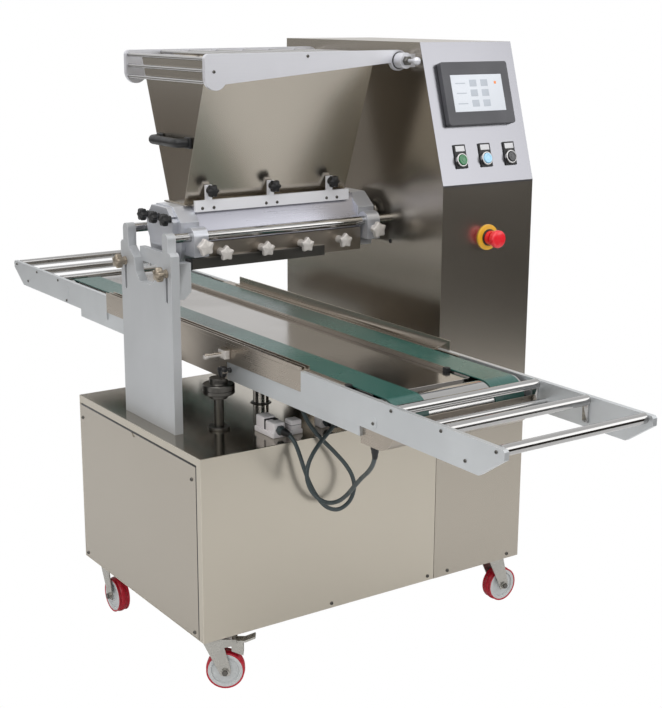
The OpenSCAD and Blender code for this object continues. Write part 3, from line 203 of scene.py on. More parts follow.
class FillingStage(bpy.types.PropertyGroup):
    """Camera, light and floor."""

    camera_place: FloatVectorProperty(name="Camera", description="Camera's place", subtype="TRANSLATION",
                                      unit="LENGTH", default=(-1.7037, -2.5763, 1.4002))
    yaw: FloatProperty(name="Yaw", description="Turn from +Y towards +X", subtype="ANGLE",
                       default=math.radians(34.54))
    pitch: FloatProperty(name="Pitch", description="Tilt below the horizon", subtype="ANGLE",
                         default=math.radians(14.05))
    roll: FloatProperty(name="Roll", description="Turn about the view", subtype="ANGLE",
                        default=math.radians(0.28))
    lens: FloatProperty(name="Lens", description="Focal length on a 36 mm long side", default=69.17,
                        min=10, unit="CAMERA")
    flag_radius: length("Flag radius", "Distance of the dark flags round the machine", 2.7)
    flag_height: length("Flag height", "Height of the dark flags", 1.12)
    floor_radius: length("Floor radius", "Radius of the floor", 14.0)


# Shapes: each is a pair of an array of points and a list of faces


def grid_faces(rows, columns, closed=False):
    """Quads between neighbours on a grid whose last column joins its first, and last row too if closed."""
    row = np.arange(rows if closed else rows - 1)[:, None]
    column = np.arange(columns)[None, :]
    after, above = (column + 1) % columns, (row + 1) % rows
    quads = [row * columns + column, row * columns + after, above * columns + after, above * columns + column]
    return np.stack(quads, -1).reshape(-1, 4).tolist()


def end_caps(rows, columns):
    """One polygon over the first ring and one over the last."""
    return [list(range(columns - 1, -1, -1)), list(range((rows - 1) * columns, rows * columns))]


def revolve(profile, steps=40, lobes=0, depth=0.0, closed=False, tip=1.0):
    """A profile of (radius, height) turned about Z. With lobes, the radius at angle a is drawn in by
    depth * (0.5 - 0.5 cos(lobes * a)) ** tip of itself, so that a tip under one makes pointed lobes. A closed
    profile makes a ring, an open one is capped."""
    profile = np.asarray(profile, float)
    angle = np.linspace(0, 2 * np.pi, steps, endpoint=False)
    radius = profile[:, :1] * (1 - depth * (0.5 - 0.5 * np.cos(lobes * angle)) ** tip)
    height = np.broadcast_to(profile[:, 1:], radius.shape)
    points = np.stack([radius * np.cos(angle), radius * np.sin(angle), height], -1).reshape(-1, 3)
    faces = grid_faces(len(profile), steps, closed)
    return points, faces if closed else faces + end_caps(len(profile), steps)


def smooth(points, steps=6):
    """A Catmull-Rom curve through the points: on each run, a cubic whose slope at a point is half the
    step between that point's two neighbours."""
    points = np.asarray(points, float)
    padded = np.vstack([2 * points[0] - points[1], points, 2 * points[-1] - points[-2]])
    before, start, end, after = (padded[k:len(padded) - 3 + k, None] for k in range(4))
    t = np.linspace(0, 1, steps, endpoint=False)[None, :, None]
    curve = 0.5 * (2 * start + (end - before) * t + (2 * before - 5 * start + 4 * end - after) * t**2
                   + (3 * start - before - 3 * end + after) * t**3)
    return np.vstack([curve.reshape(-1, 3), points[-1:]])


def unit(vectors):
    """Vectors scaled to length one."""
    vectors = np.asarray(vectors, float)
    return vectors / np.linalg.norm(vectors, axis=-1, keepdims=True)


def tube(path, radius, sides=14, flat=1.0):
    """Rings of points round a path, each square to the run there, with the ring's first direction carried
    from ring to ring without twist. flat scales the second direction, for an oval section."""
    path = np.asarray(path, float)
    along = unit(np.gradient(path, axis=0))
    first = [unit(np.cross(along[0], UP if abs(along[0][2]) < 0.9 else LEFT))]
    for run in along[1:]:
        first.append(unit(first[-1] - run * (first[-1] @ run)))
    first = np.array(first)
    second = np.cross(along, first) * flat
    angle = np.linspace(0, 2 * np.pi, sides, endpoint=False)[None, :, None]
    radius = np.broadcast_to(radius, len(path))[:, None, None]
    points = path[:, None] + radius * (np.cos(angle) * first[:, None] + np.sin(angle) * second[:, None])
    return points.reshape(-1, 3), grid_faces(len(path), sides) + end_caps(len(path), sides)


def rounded_box(low, high, radius, steps=3):
    """A sphere of the corner radius cut into octants, each pushed out to its own corner of the box."""
    low, high = np.asarray(low, float), np.asarray(high, float)
    quarter = np.linspace(0, 1, steps + 1)
    turn = np.concatenate([quarter + k for k in range(4)]) * np.pi / 2
    rise = np.concatenate([quarter - 1, quarter])[:, None] * np.pi / 2
    side_x, side_y = (np.repeat(signs, steps + 1) for signs in ((1, -1, -1, 1), (1, 1, -1, -1)))
    side_z = np.repeat((-1, 1), steps + 1)[:, None]
    half = (high - low) / 2 - radius
    points = np.stack(np.broadcast_arrays(
        half[0] * side_x + radius * np.cos(rise) * np.cos(turn),
        half[1] * side_y + radius * np.cos(rise) * np.sin(turn),
        half[2] * side_z + radius * np.sin(rise)), -1)
    rows, columns = len(rise), len(turn)
    return points.reshape(-1, 3) + (low + high) / 2, grid_faces(rows, columns) + end_caps(rows, columns)


def place(shape, origin, axis=UP, turn=0.0):
    """A shape made about +Z, turned by an angle about it, laid along an axis and moved to a point."""
    out = Vector(axis).normalized()
    spin = out.to_track_quat("Z", "Y").to_matrix() @ Matrix.Rotation(turn, 3, "Z")
    return shape[0] @ np.array(spin).T + np.array(origin, float), shape[1]


def joined(shapes):
    """Several shapes as one."""
    points, faces, count = [], [], 0
    for shape_points, shape_faces in shapes:
        points.append(shape_points)
        faces += [[corner + count for corner in face] for face in shape_faces]
        count += len(shape_points)
    return np.vstack(points), faces


def repeated(shape, origins, axis=UP):
    """The same shape at several points along one axis."""
    return joined([place(shape, origin, axis) for origin in origins])


def at_joint(joint, x=None, y=None):
    """A joint's place, moved along X or Y to a face if one is given."""
    joint_x, joint_y, joint_z = JOINTS[joint]["pos_m"]
    return joint_x if x is None else x, joint_y if y is None else y, joint_z


def arc(centre_r, centre_h, radius, start, end, steps=5):
    """Points of a (radius, height) profile on an arc between two angles in degrees."""
    angle = np.radians(np.linspace(start, end, steps))
    return np.stack([centre_r + radius * np.cos(angle), centre_h + radius * np.sin(angle)], -1)


def screw_head(diameter):
    """A low dome with a sunk round socket: a profile of an edge, a quarter round and a straight well."""
    radius, height = diameter / 2, diameter * 0.32
    dome = arc(radius - height, 0, height, 0, 80, 5)
    well = [(radius * 0.46, height * 0.98), (radius * 0.40, height * 0.35)]
    return revolve(np.vstack([[(radius, -0.0004)], dome, well]), 18)


def hex_nut(across, height, bore):
    """A six-sided ring with a round bore's corner broken: its profile runs up the flats and over the top."""
    radius = across / math.sqrt(3)
    return revolve([(radius * 0.94, 0), (radius, height * 0.12), (radius, height * 0.85),
                    (radius * 0.9, height), (bore, height)], 6)


def lobed_knob(radius, grip_low, grip, hub, lobes, depth, tip=1.0, steps=90):
    """A grip with soft lobes on a round hub: the grip's outline swells and draws in once a lobe, and its
    profile rolls over at both faces to a dished top. The grip starts at a height of grip_low and is grip
    thick."""
    roll = grip * 0.28
    top = grip_low + grip
    head = np.vstack([[(radius * 0.35, grip_low)], arc(radius - roll, grip_low + roll, roll, -90, 0),
                      arc(radius - roll, top - roll, roll, 0, 90),
                      [(radius * 0.62, top + 0.0004), (radius * 0.42, top + 0.0014),
                       (radius * 0.12, top + 0.0016)]])
    neck = [(hub * 1.12, 0.0003), (hub * 1.12, grip_low * 0.25), (hub, grip_low * 0.35), (hub, grip_low + roll)]
    return joined([revolve(head, steps, lobes, depth, tip=tip), revolve(neck, 32)])


# Objects


def meshed(name, shape):
    """A mesh of a shape's points and faces."""
    mesh = bpy.data.meshes.new(name)
    mesh.from_pydata(shape[0].tolist(), [], shape[1])
    return mesh


def added(name, data):
    """An object with a mesh, a light or a camera, put into the scene."""
    thing = bpy.data.objects.new(name, data)
    bpy.context.scene.collection.objects.link(thing)
    return thing


def piece_of(name, mesh, material, crease, body, slot, stands_for):
    """A piece with a finish, smooth but for edges over the crease angle, that rides on a body and stands for a
    node, as far as these are given. The slot is not used."""
    mesh.shade_smooth()
    mesh.set_sharp_from_angle(angle=math.radians(crease))
    mesh.materials.append(finish(material))
    piece = added(name, mesh)
    if body:
        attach(piece, body)
    if stands_for:
        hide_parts(stands_for)
    return piece


def merged(solid, distance):
    """Points closer together than a distance, made one."""
    bmesh.ops.remove_doubles(solid, verts=solid.verts, dist=distance)


def make(name, shape, material, body="base", slot="", stands_for=None, crease=38):
    """A piece from a shape, with its doubles merged. Its slot, named as its material is unless another is
    given, is handed to piece_of, which does not use it."""
    mesh = meshed(name, shape)
    solid = bmesh.new()
    solid.from_mesh(mesh)
    merged(solid, SHAPE_DOUBLES)
    solid.to_mesh(mesh)
    solid.free()
    return piece_of(name, mesh, material, crease, body, material if slot == "" else slot, stands_for)


def prism(outline, start, end):
    """An outline of (x, z) points carried along Y from start to end."""
    ring = np.insert(np.asarray(outline, float), 1, start, axis=1)
    count = len(ring)
    return np.vstack([ring, ring + (0, end - start, 0)]), grid_faces(2, count) + end_caps(2, count)


def trimmed(solid, shape):
    """A mesh less a shape, worked out by an exact boolean."""
    blank, cutter = bpy.data.meshes.new("blank"), meshed("cutter", shape)
    solid.to_mesh(blank)
    tools = [added("blank", blank), added("cutter", cutter)]
    cut = tools[0].modifiers.new("cut", "BOOLEAN")
    cut.operation, cut.solver, cut.object = "DIFFERENCE", "EXACT", tools[1]
    graph = bpy.context.evaluated_depsgraph_get()
    result = bpy.data.meshes.new_from_object(tools[0].evaluated_get(graph))
    solid.clear()
    solid.from_mesh(result)
    for tool in tools:
        bpy.data.objects.remove(tool)
    for mesh in (cutter, blank, result):
        bpy.data.meshes.remove(mesh)


def dressed(node, material, edge, body="base", crease=30, slot=None, cut=None):
    """A merged copy of a solid with its outer edges rolled over, which stands for the solid. Faces made by
    the rolling carry 1 in the attribute edge, so that the finish can brighten them, partly as wear and partly
    as a painted highlight. A shape to cut is taken out of the copy first."""
    solid = bmesh.new()
    solid.from_mesh(frame["nodes"][node].data)
    merged(solid, SOLID_DOUBLES)
    if cut:
        trimmed(solid, cut)
        merged(solid, SOLID_DOUBLES)
    bmesh.ops.dissolve_limit(solid, angle_limit=FLAT_ANGLE, verts=solid.verts, edges=solid.edges)
    sharp = [e for e in solid.edges if len(e.link_faces) == 2 and e.is_convex
             and e.calc_face_angle(0) > math.radians(crease)]
    wear_and_highlight_layer = solid.faces.layers.float.new("edge")
    if edge and sharp:
        rolled = bmesh.ops.bevel(solid, geom=sharp, offset=edge, segments=2, profile=0.5, affect="EDGES",
                                 clamp_overlap=True)
        for face in rolled["faces"]:
            face[wear_and_highlight_layer] = 1.0
    name = node + "_finished"
    mesh = bpy.data.meshes.new(name)
    solid.to_mesh(mesh)
    solid.free()
    piece = piece_of(name, mesh, material, crease + CREASE_MARGIN, body, slot or material, node)
    weigh = piece.modifiers.new("weighted normals", "WEIGHTED_NORMAL")
    weigh.keep_sharp, weigh.weight = True, 80


def painted(node, material):
    """A solid that keeps its own mesh and gets a finish."""
    mesh = frame["nodes"][node].data
    mesh.materials.clear()
    mesh.materials.append(finish(material))


def screws(name, diameter, spots, axis, body="base"):
    """Dark screws of one size, whose heads stand on the given points."""
    make(name, repeated(screw_head(diameter), spots, axis), "dark_steel", body)


# Finishes: effects that several materials share are node groups


def effect(name, output, label=None, default=None):
    """A node group that turns a vector into one value, with one more input if it has a label. Returns the
    group, the sockets of its two inputs and the one that takes the value."""
    group = bpy.data.node_groups.new(name, "ShaderNodeTree")
    for title, value in (("Vector", (0, 0, 0)), (label, default)):
        if title:
            kind = "NodeSocketVector" if isinstance(value, tuple) else "NodeSocketFloat"
            group.interface.new_socket(title, in_out="INPUT", socket_type=kind).default_value = value
    group.interface.new_socket(output, in_out="OUTPUT", socket_type="NodeSocketFloat")
    inside, outside = group.nodes.new("NodeGroupInput"), group.nodes.new("NodeGroupOutput")
    return group, inside.outputs[0], inside.outputs[1], outside.inputs[0]


def feed(tree, node, inputs):
    """Inputs of a node by name or number: each is linked to a socket or set to a constant."""
    for key, value in inputs.items():
        if isinstance(value, bpy.types.NodeSocket):
            tree.links.new(value, node.inputs[key])
        else:
            node.inputs[key].default_value = value


def shading(tree, kind, output, inputs=(), **settings):
    """A new shader node with its settings and inputs; returns one of its outputs."""
    node = tree.nodes.new(kind)
    for name, value in settings.items():
        setattr(node, name, value)
    feed(tree, node, dict(inputs))
    return node.outputs[output]


def noise(tree, vector, scale, detail, roughness=0.55, distortion=0.0):
    """A noise texture's value over a vector."""
    return shading(tree, "ShaderNodeTexNoise", "Fac", {
        "Vector": vector, "Scale": scale, "Detail": detail, "Roughness": roughness, "Distortion": distortion})


def ranged(tree, value, low, high, to_low, to_high):
    """A value between low and high carried over to another range."""
    return shading(tree, "ShaderNodeMapRange", "Result", {
        "Value": value, "From Min": low, "From Max": high, "To Min": to_low, "To Max": to_high})


def calculated(tree, operation, first, second):
    """A math node on sockets or numbers."""
    return shading(tree, "ShaderNodeMath", "Value", {0: first, 1: second}, operation=operation)


def mixed(tree, share, first, second):
    """Two colours mixed by a share; a colour is a socket or three numbers."""
    pair = [value if isinstance(value, bpy.types.NodeSocket) else (*value, 1) for value in (first, second)]
    return shading(tree, "ShaderNodeMix", 2, {"Factor": share, 6: pair[0], 7: pair[1]}, data_type="RGBA")


def brushing_group():
    """Long fine streaks: noise over coordinates stretched by Grain, lines per metre along each axis."""
    group, vector, grain, out = effect("brushing", "Streaks", "Grain", (900, 900, 9))
    stretched = shading(group, "ShaderNodeVectorMath", "Vector", {0: vector, 1: grain}, operation="MULTIPLY")
    group.links.new(noise(group, stretched, 1.0, 3.0, 0.62), out)


def handling_group():
    """Soft clouds where hands and cloths have dulled or polished a surface."""
    group, vector, scale, out = effect("handling", "Cloud", "Scale", 6.0)
    group.links.new(ranged(group, noise(group, vector, scale, 4.0, 0.5, 0.35), 0.32, 0.68, 0.0, 1.0), out)


def moulding_group():
    """The fine even grain of moulded plastic, rubber and bead-blasted metal."""
    group, vector, scale, out = effect("moulding", "Grain", "Scale", 1400.0)
    group.links.new(noise(group, vector, scale, 2.0), out)


def edge_wear_and_highlight_group():
    """Rolled edges, brightened partly as wear and partly as a painted highlight, broken up by clouds: the
    piece's own attribute edge times a noise.
    """
    group, vector, _, out = effect("edge wear and highlight", "Wear and highlight")
    rolled = shading(group, "ShaderNodeAttribute", "Fac", attribute_name="edge")
    patches = ranged(group, noise(group, vector, 40.0, 3.0), 0.3, 0.6, 0.35, 1.0)
    group.links.new(calculated(group, "MULTIPLY", rolled, patches), out)


def weave_group():
    """A belt's fine fabric face: two crossed waves, one high where the other is low."""
    group, vector, threads, out = effect("weave", "Height", "Threads", 900.0)
    inputs = {"Vector": vector, "Scale": threads, "Distortion": 0.6}
    waves = [shading(group, "ShaderNodeTexWave", "Fac", inputs, bands_direction=way) for way in ("X", "Y")]
    group.links.new(calculated(group, "MULTIPLY", *waves), out)


def waviness_group():
    """The slow bulges of thin folded sheet: one smooth octave of noise."""
    group, vector, scale, out = effect("waviness", "Height", "Scale", 3.0)
    group.links.new(noise(group, vector, scale, 0.0), out)


EFFECTS = {"waviness": waviness_group, "brushing": brushing_group, "handling": handling_group,
           "moulding": moulding_group, "edge wear and highlight": edge_wear_and_highlight_group, "weave": weave_group}

# How a finish behaves: its roughness and the spread of it, the share that is metal, the brushed grain's lines
# per metre along X, Y and Z or the moulded grain's scale, the bump's depth, the clouds' scale and strength and
# the brightness of rolled edges, partly wear and partly a painted highlight. Then what only some have: a belt's
# threads, how far streaks change the gloss and hairlines the tint, the scale of the sheet's bulges, a face
# finished otherwise with a painted tint, glow, coat and reflection
Look = namedtuple("Look", "rough spread metal grain bump cloud shade edge "
                  "weave streak hair wavy face glow coat specular",
                  defaults=(0, None, 0.03, None, None, None, 0, 0, 0.5))
UPRIGHT = (700, 700, 5)
LENGTHWAYS = (700, 6, 700)
ACROSS = (6, 700, 700)
FINISHES = {
    "satin_steel": Look(0.26, 0.012, 1, UPRIGHT, 0.10, 2.4, 0.01, 0.5, streak=0.003, hair=0.006, wavy=3.0,
                        face="console"),
    "cabinet_steel": Look(0.29, 0.012, 1, UPRIGHT, 0.08, 2.4, 0.01, 0.5, streak=0.003, hair=0.006, wavy=2.6,
                          face="deck"),
    "hopper_steel": Look(0.25, 0.014, 1, UPRIGHT, 0.14, 3.0, 0.012, 0.5, streak=0.003, hair=0.008, wavy=5.0),
    "rail_steel": Look(0.30, 0.05, 1, LENGTHWAYS, 0.03, 6, 0.05, 0.8),
    "support_grey": Look(0.46, 0.06, 0.4, 1600, 0.05, 7, 0.04, 0.6),
    "plate_aluminium": Look(0.42, 0.05, 0.8, LENGTHWAYS, 0.03, 7, 0.03, 0.5),
    "head_plate": Look(0.36, 0.05, 0.65, ACROSS, 0.03, 8, 0.04, 0.5),
    "guard_pale": Look(0.42, 0.05, 0.6, ACROSS, 0.03, 7, 0.03, 0.4),
    "bed_steel": Look(0.14, 0.04, 1, LENGTHWAYS, 0.02, 5, 0.05, 0.3),
    "chromed_bar": Look(0.10, 0.03, 1, ACROSS, 0.01, 9, 0.03, 0.2),
    "dark_steel": Look(0.34, 0.06, 1, ACROSS, 0.04, 9, 0.06, 0.6),
    "pale_steel": Look(0.42, 0.05, 0.35, 1500, 0.05, 14, 0.05, 0.3),
    "strip_pale": Look(0.38, 0.05, 0.2, ACROSS, 0.02, 12, 0.03, 0.3),
    "trough_steel": Look(0.30, 0.04, 0.7, ACROSS, 0.02, 9, 0.03, 0.4),
    "brass_tone": Look(0.34, 0.06, 0.85, 1500, 0.05, 20, 0.06, 0.3),
    "zinc": Look(0.30, 0.07, 0.95, 700, 0.04, 24, 0.06, 0.5),
    "machine_grey": Look(0.5, 0.08, 0, 500, 0.15, 9, 0.08, 0.2),
    "black_knob": Look(0.42, 0.08, 0, 1700, 0.10, 30, 0.2, 0.1),
    "panel_plastic": Look(0.45, 0.06, 0, 1900, 0.12, 14, 0.06, 0.2),
    "screen_glass": Look(0.30, 0.03, 0, 900, 0, 16, 0.04, glow=0.16),
    "screen_tile": Look(0.30, 0.03, 0, 900, 0, 30, 0.05, glow=0.10),
    "screen_dot": Look(0.30, 0.03, 0, 900, 0, 30, 0.05, glow=0.20),
    "legend_white": Look(0.4, 0.05, 0, 1600, 0.06, 40, 0.06),
    "belt_green": Look(0.29, 0.05, 0, None, 0.05, 5, 0.12, 0.15, weave=1100, specular=0.7),
    "cable_grey": Look(0.45, 0.07, 0, 1500, 0.10, 22, 0.12),
    "connector_pale": Look(0.42, 0.06, 0, 1500, 0.10, 18, 0.06, 0.2),
    "wheel_red": Look(0.33, 0.07, 0, 900, 0.06, 26, 0.12),
    "wheel_hub": Look(0.38, 0.07, 0, 1200, 0.08, 24, 0.08),
    "button_green": Look(0.2, 0.05, 0, 1500, 0.03, 50, 0.1, coat=0.6),
    "button_blue": Look(0.2, 0.05, 0, 1500, 0.03, 50, 0.1, coat=0.6, glow=0.12),
    "button_black": Look(0.25, 0.05, 0, 1500, 0.03, 50, 0.1, coat=0.6),
    "estop_red": Look(0.26, 0.06, 0, 1500, 0.04, 40, 0.1, coat=0.4),
    "estop_yellow": Look(0.35, 0.06, 0, 1500, 0.05, 40, 0.08),
}


def grouped(tree, name, vector, **inputs):
    """An effect's group placed in a material, with its inputs set; returns its output."""
    if name not in bpy.data.node_groups:
        EFFECTS[name]()
    group = bpy.data.node_groups[name]
    return shading(tree, "ShaderNodeGroup", 0, {"Vector": vector, **inputs}, node_tree=group)


def face_polish_and_painted_tint(name, tint):
    """A flat face that is finished otherwise than the rest of its sheet: its normal, its distance from the
    origin along that normal, its tint and how much smoother it is. The tints are painted: the deck's is
    darkened for the dark reflections of its polished top, and the console's is a tint of its own, set for the
    bright sky that its slope reflects."""
    if name == "deck":
        # Painted shade: the deck's tint is darkened to 0.8 for the dark reflections of its polished top; 0.14
        # less roughness is its polish
        return UP, DECK, tuple(tint * 0.8), 0.14
    # Painted light: the console is the tower's steel with a tint of its own, set for the bright sky its slope
    # reflects
    normal = -Vector(JOINTS["button_green_press"]["axis"])
    foot = Vector((TOWER_LOW.x, TOWER_LOW.y, bpy.context.scene.filling_sizes.console_foot))
    return normal, foot.dot(normal), tuple(bpy.context.scene.filling_colours.console_painted_light), 0.0


def finish(name):
    """The material of a finish, built on first use: streaks or grain vary the tint, the gloss and the bump,
    clouds dull and darken, and rolled edges come out brighter, partly as wear and partly as a painted
    highlight.
    The console's and the deck's faces take a tint of their own, which is painted light and shade."""
    if name in bpy.data.materials:
        if bpy.data.materials[name].get("machine_finish"):
            return bpy.data.materials[name]
        bpy.data.materials[name].name = name + "_solid"
    look = FINISHES[name]
    tint = np.array(getattr(bpy.context.scene.filling_colours, name))
    material = bpy.data.materials.new(name)
    material["machine_finish"] = True
    material.use_nodes = True
    tree = material.node_tree
    shader = tree.nodes["Principled BSDF"]
    spot = shading(tree, "ShaderNodeTexCoord", "Object")
    if look.weave:
        fine = grouped(tree, "weave", spot, Threads=look.weave)
    elif isinstance(look.grain, tuple):
        fine = grouped(tree, "brushing", spot, Grain=look.grain)
    else:
        fine = grouped(tree, "moulding", spot, Scale=look.grain)
    cloud = grouped(tree, "handling", spot, Scale=look.cloud)
    hair = look.shade if look.hair is None else look.hair
    dark, pale = tint * (1 - HAIR_DARK * hair), np.clip(tint * (1 + hair), 0, 1)
    base = mixed(tree, ranged(tree, fine, *MID_NOISE, 0.0, 1.0), dark, pale)
    deep = tint * (1 - CLOUD_DARK * look.shade)
    base = mixed(tree, ranged(tree, cloud, 0.0, 1.0, 0.0, CLOUD_SHARE), base, deep)
    gloss = calculated(tree, "ADD",
                       ranged(tree, cloud, 0.0, 1.0, look.rough - look.spread, look.rough + look.spread),
                       ranged(tree, fine, *MID_NOISE, -look.streak, look.streak))
    # Painted light on the console and painted shade on the deck: each face takes a tint of its own, and the
    # deck is also smoother
    if look.face:
        normal, distance, face_painted_tint, polish = face_polish_and_painted_tint(look.face, tint)
        along = shading(tree, "ShaderNodeVectorMath", "Value", {0: spot, 1: normal}, operation="DOT_PRODUCT")
        flat = ranged(tree, along, distance - FACE_START, distance - FACE_WHOLE, 0.0, 1.0)
        base = mixed(tree, flat, base, face_painted_tint)
        gloss = calculated(tree, "SUBTRACT", gloss, calculated(tree, "MULTIPLY", flat, polish))
    # Painted highlight, partly wear too: rolled edges get a brighter tint
    if look.edge:
        edge_wear_and_highlight = calculated(tree, "MULTIPLY", grouped(tree, "edge wear and highlight", spot), look.edge)
        base = mixed(tree, edge_wear_and_highlight, base, np.clip(tint * EDGE_GAIN + EDGE_LIFT, 0, 1))
    feed(tree, shader, {"Base Color": base, "Roughness": gloss, "Metallic": look.metal,
                        "Coat Weight": look.coat, "Specular IOR Level": look.specular})
    if look.glow:
        feed(tree, shader, {"Emission Color": base, "Emission Strength": look.glow})
    if look.bump:
        height, depth = fine, GRAIN_DEPTH
        if look.wavy:
            height, depth = grouped(tree, "waviness", spot, Scale=look.wavy), BULGE_DEPTH
        bump = {"Strength": look.bump, "Distance": depth, "Height": height}
        feed(tree, shader, {"Normal": shading(tree, "ShaderNodeBump", "Normal", bump)})
    return material


# Operators


class FILLING_OT_stage(bpy.types.Operator):
    """Set up the camera, the pale floor, the soft lights and the dark flags that steel reflects"""

    bl_idname = "filling.stage"
    bl_label = "Camera, floor and light"

    def execute(self, context):
        stage = context.scene.filling_stage
        self.add_camera(context.scene, stage)
        self.add_floor(stage)
        self.add_flags(stage)
        self.add_world(context.scene)
        self.add_lights()
        context.scene.view_settings.view_transform = "Standard"
        return {"FINISHED"}

    @staticmethod
    def add_camera(scene, stage):
        data = bpy.data.cameras.new("camera")
        data.lens, data.sensor_width = stage.lens, 36
        data.clip_start, data.clip_end = 0.05, 100
        turn = Matrix.Rotation(-stage.yaw, 4, "Z") @ Matrix.Rotation(math.pi / 2 - stage.pitch, 4, "X")
        turn = turn @ Matrix.Rotation(stage.roll, 4, "Z")
        scene.camera = added("camera", data)
        scene.camera.matrix_world = Matrix.Translation(stage.camera_place) @ turn

    @staticmethod
    def add_sheet(name, shape, tint, roughness):
        """A plain surface with a faint cloud that belongs to the stage and that the camera doesn't see."""
        material = bpy.data.materials.new(name)
        material.use_nodes = True
        tree = material.node_tree
        cloud = noise(tree, shading(tree, "ShaderNodeTexCoord", "Object"), 0.8, 2.0)
        base = mixed(tree, cloud, np.array(tint) * 0.97, tint)
        feed(tree, tree.nodes["Principled BSDF"], {"Base Color": base, "Roughness": roughness})
        mesh = meshed(name, shape)
        mesh.materials.append(material)
        sheet = added(name, mesh)
        sheet.visible_camera = False
        return sheet

    def add_floor(self, stage):
        """Flat rings that shrink nearly to a point, without the caps that would close them."""
        radii = np.linspace(stage.floor_radius, 0.01, 12)
        points, faces = revolve(np.stack([radii, np.zeros_like(radii)], -1), 96)
        self.add_sheet("floor", (points, faces[:-2]), bpy.context.scene.filling_colours.floor, 0.6)

    def add_flags(self, stage):
        """Curved dark screens that only reflections see: name, start and end in degrees, low edge and tint."""
        count = 48
        for name, start, end, low, tint in (("front_flag", 190, 350, 0.0, (46, 42, 37)),
                                            ("left_flag", 84, 190, 0.45, (112, 106, 100)),
                                            ("back_flag", -10, 84, 0.0, (90, 86, 80))):
            angle = np.radians(np.linspace(start, end, count))
            ring = np.stack([np.cos(angle), np.sin(angle), np.zeros(count)], -1) * stage.flag_radius
            points = np.vstack([ring + (0, 0, low), ring + (0, 0, stage.flag_height)])
            faces = np.arange(count - 1)[:, None] + (0, 1, count + 1, count)
            flag = self.add_sheet(name, (points, faces.tolist()), linear(*tint), 0.9)
            flag.visible_shadow = flag.visible_diffuse = False

    @staticmethod
    def add_world(scene):
        """A sky that is dark below and bright over the horizon, and white where the camera looks at it."""
        world = bpy.data.worlds.new("studio")
        scene.world = world
        world.use_nodes = True
        tree = world.node_tree
        way = shading(tree, "ShaderNodeTexCoord", "Generated")
        height = shading(tree, "ShaderNodeSeparateXYZ", "Z", {"Vector": way})
        level = shading(tree, "ShaderNodeValToRGB", "Color", {"Fac": ranged(tree, height, -1.0, 1.0, 0.0, 1.0)})
        ramp = level.node.color_ramp.elements
        steps = ((0.0, 0.30), (0.48, 0.34), (0.56, 0.85), (0.66, 1.0), (1.0, 0.8))
        for position, _ in steps[1:-1]:
            ramp.new(position)
        for element, (_, grey) in zip(ramp, steps):
            element.color = (grey, grey, grey, 1)
        sky = tree.nodes["Background"]
        feed(tree, sky, {"Color": level})
        white = shading(tree, "ShaderNodeBackground", "Background", {"Color": (1, 1, 1, 1)})
        seen = shading(tree, "ShaderNodeLightPath", "Is Camera Ray")
        both = shading(tree, "ShaderNodeMixShader", "Shader",
                       {"Fac": seen, 1: sky.outputs["Background"], 2: white})
        feed(tree, tree.nodes["World Output"], {"Surface": both})

    @staticmethod
    def add_lights():
        """Area lights: name, place, target, width, height and watts."""
        for name, spot, target, width, height, watts in (
                ("overhead", (-0.6, -0.8, 3.4), (0, 0, 0.6), 3.2, 3.2, 44),
                ("front_left", (-3.2, -2.2, 2.4), (0, 0, 0.8), 1.8, 1.8, 14),
                ("front_right", (2.4, -3.0, 2.2), (0.2, 0, 0.9), 1.6, 2.2, 15)):
            data = bpy.data.lights.new(name, "AREA")
            data.shape = "RECTANGLE"
            data.size, data.size_y, data.energy = width, height, watts
            light = added(name, data)
            light.location = spot
            light.rotation_euler = (Vector(target) - Vector(spot)).to_track_quat("-Z", "Y").to_euler()


class FILLING_OT_cables(bpy.types.Operator):
    """Lay the two cables along their routes, with a tapered strain relief at each end"""

    bl_idname = "filling.cables"
    bl_label = "Cables"

    def execute(self, context):
        diameter = context.scene.filling_sizes.cable_diameter
        start = Vector(CABLE_A_ROUTE[0])
        self.lay("cable_a", CABLE_A_ROUTE, diameter, (("base", FRONT), ("conveyor", DOWN)),
                 start, start + Vector((0.0872, 0.0, 0.0671)))
        self.lay("cable_b", CABLE_B_ROUTE, diameter, (("conveyor", DOWN), ("base", FRONT)),
                 Vector((-0.2, -0.36, 0.5)), Vector((-0.2, -0.645, 0.5)))
        return {"FINISHED"}

    @staticmethod
    def lay(node, route, diameter, ends, still, moved):
        """One cable and the boots at its two ends, which ride on the bodies given in ends. The points still and
        moved are not used."""
        path = smooth(route)
        grip = diameter / 2
        sheath = make(node + "_sheath", tube(path, grip), "cable_grey", None, stands_for=node, crease=60)
        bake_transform(sheath)
        # A boot tapers from nearly twice the cable's thickness, with every other ring raised to a rib
        wide, taper, raised, inside, pitch = 1.9, 0.15, 0.12, 0.006, 0.0035
        rings = [(grip * (wide - taper * k + raised * (k % 2)), pitch * k - inside) for k in range(6)]
        boot = revolve(rings + [(grip * 1.02, 0.017)], 24)
        boots = [make(f"{node}_boot_{k + 1}", place(boot, spot, axis), "black_knob", body, None)
                 for k, (spot, (body, axis)) in enumerate(zip((route[0], route[-1]), ends))]


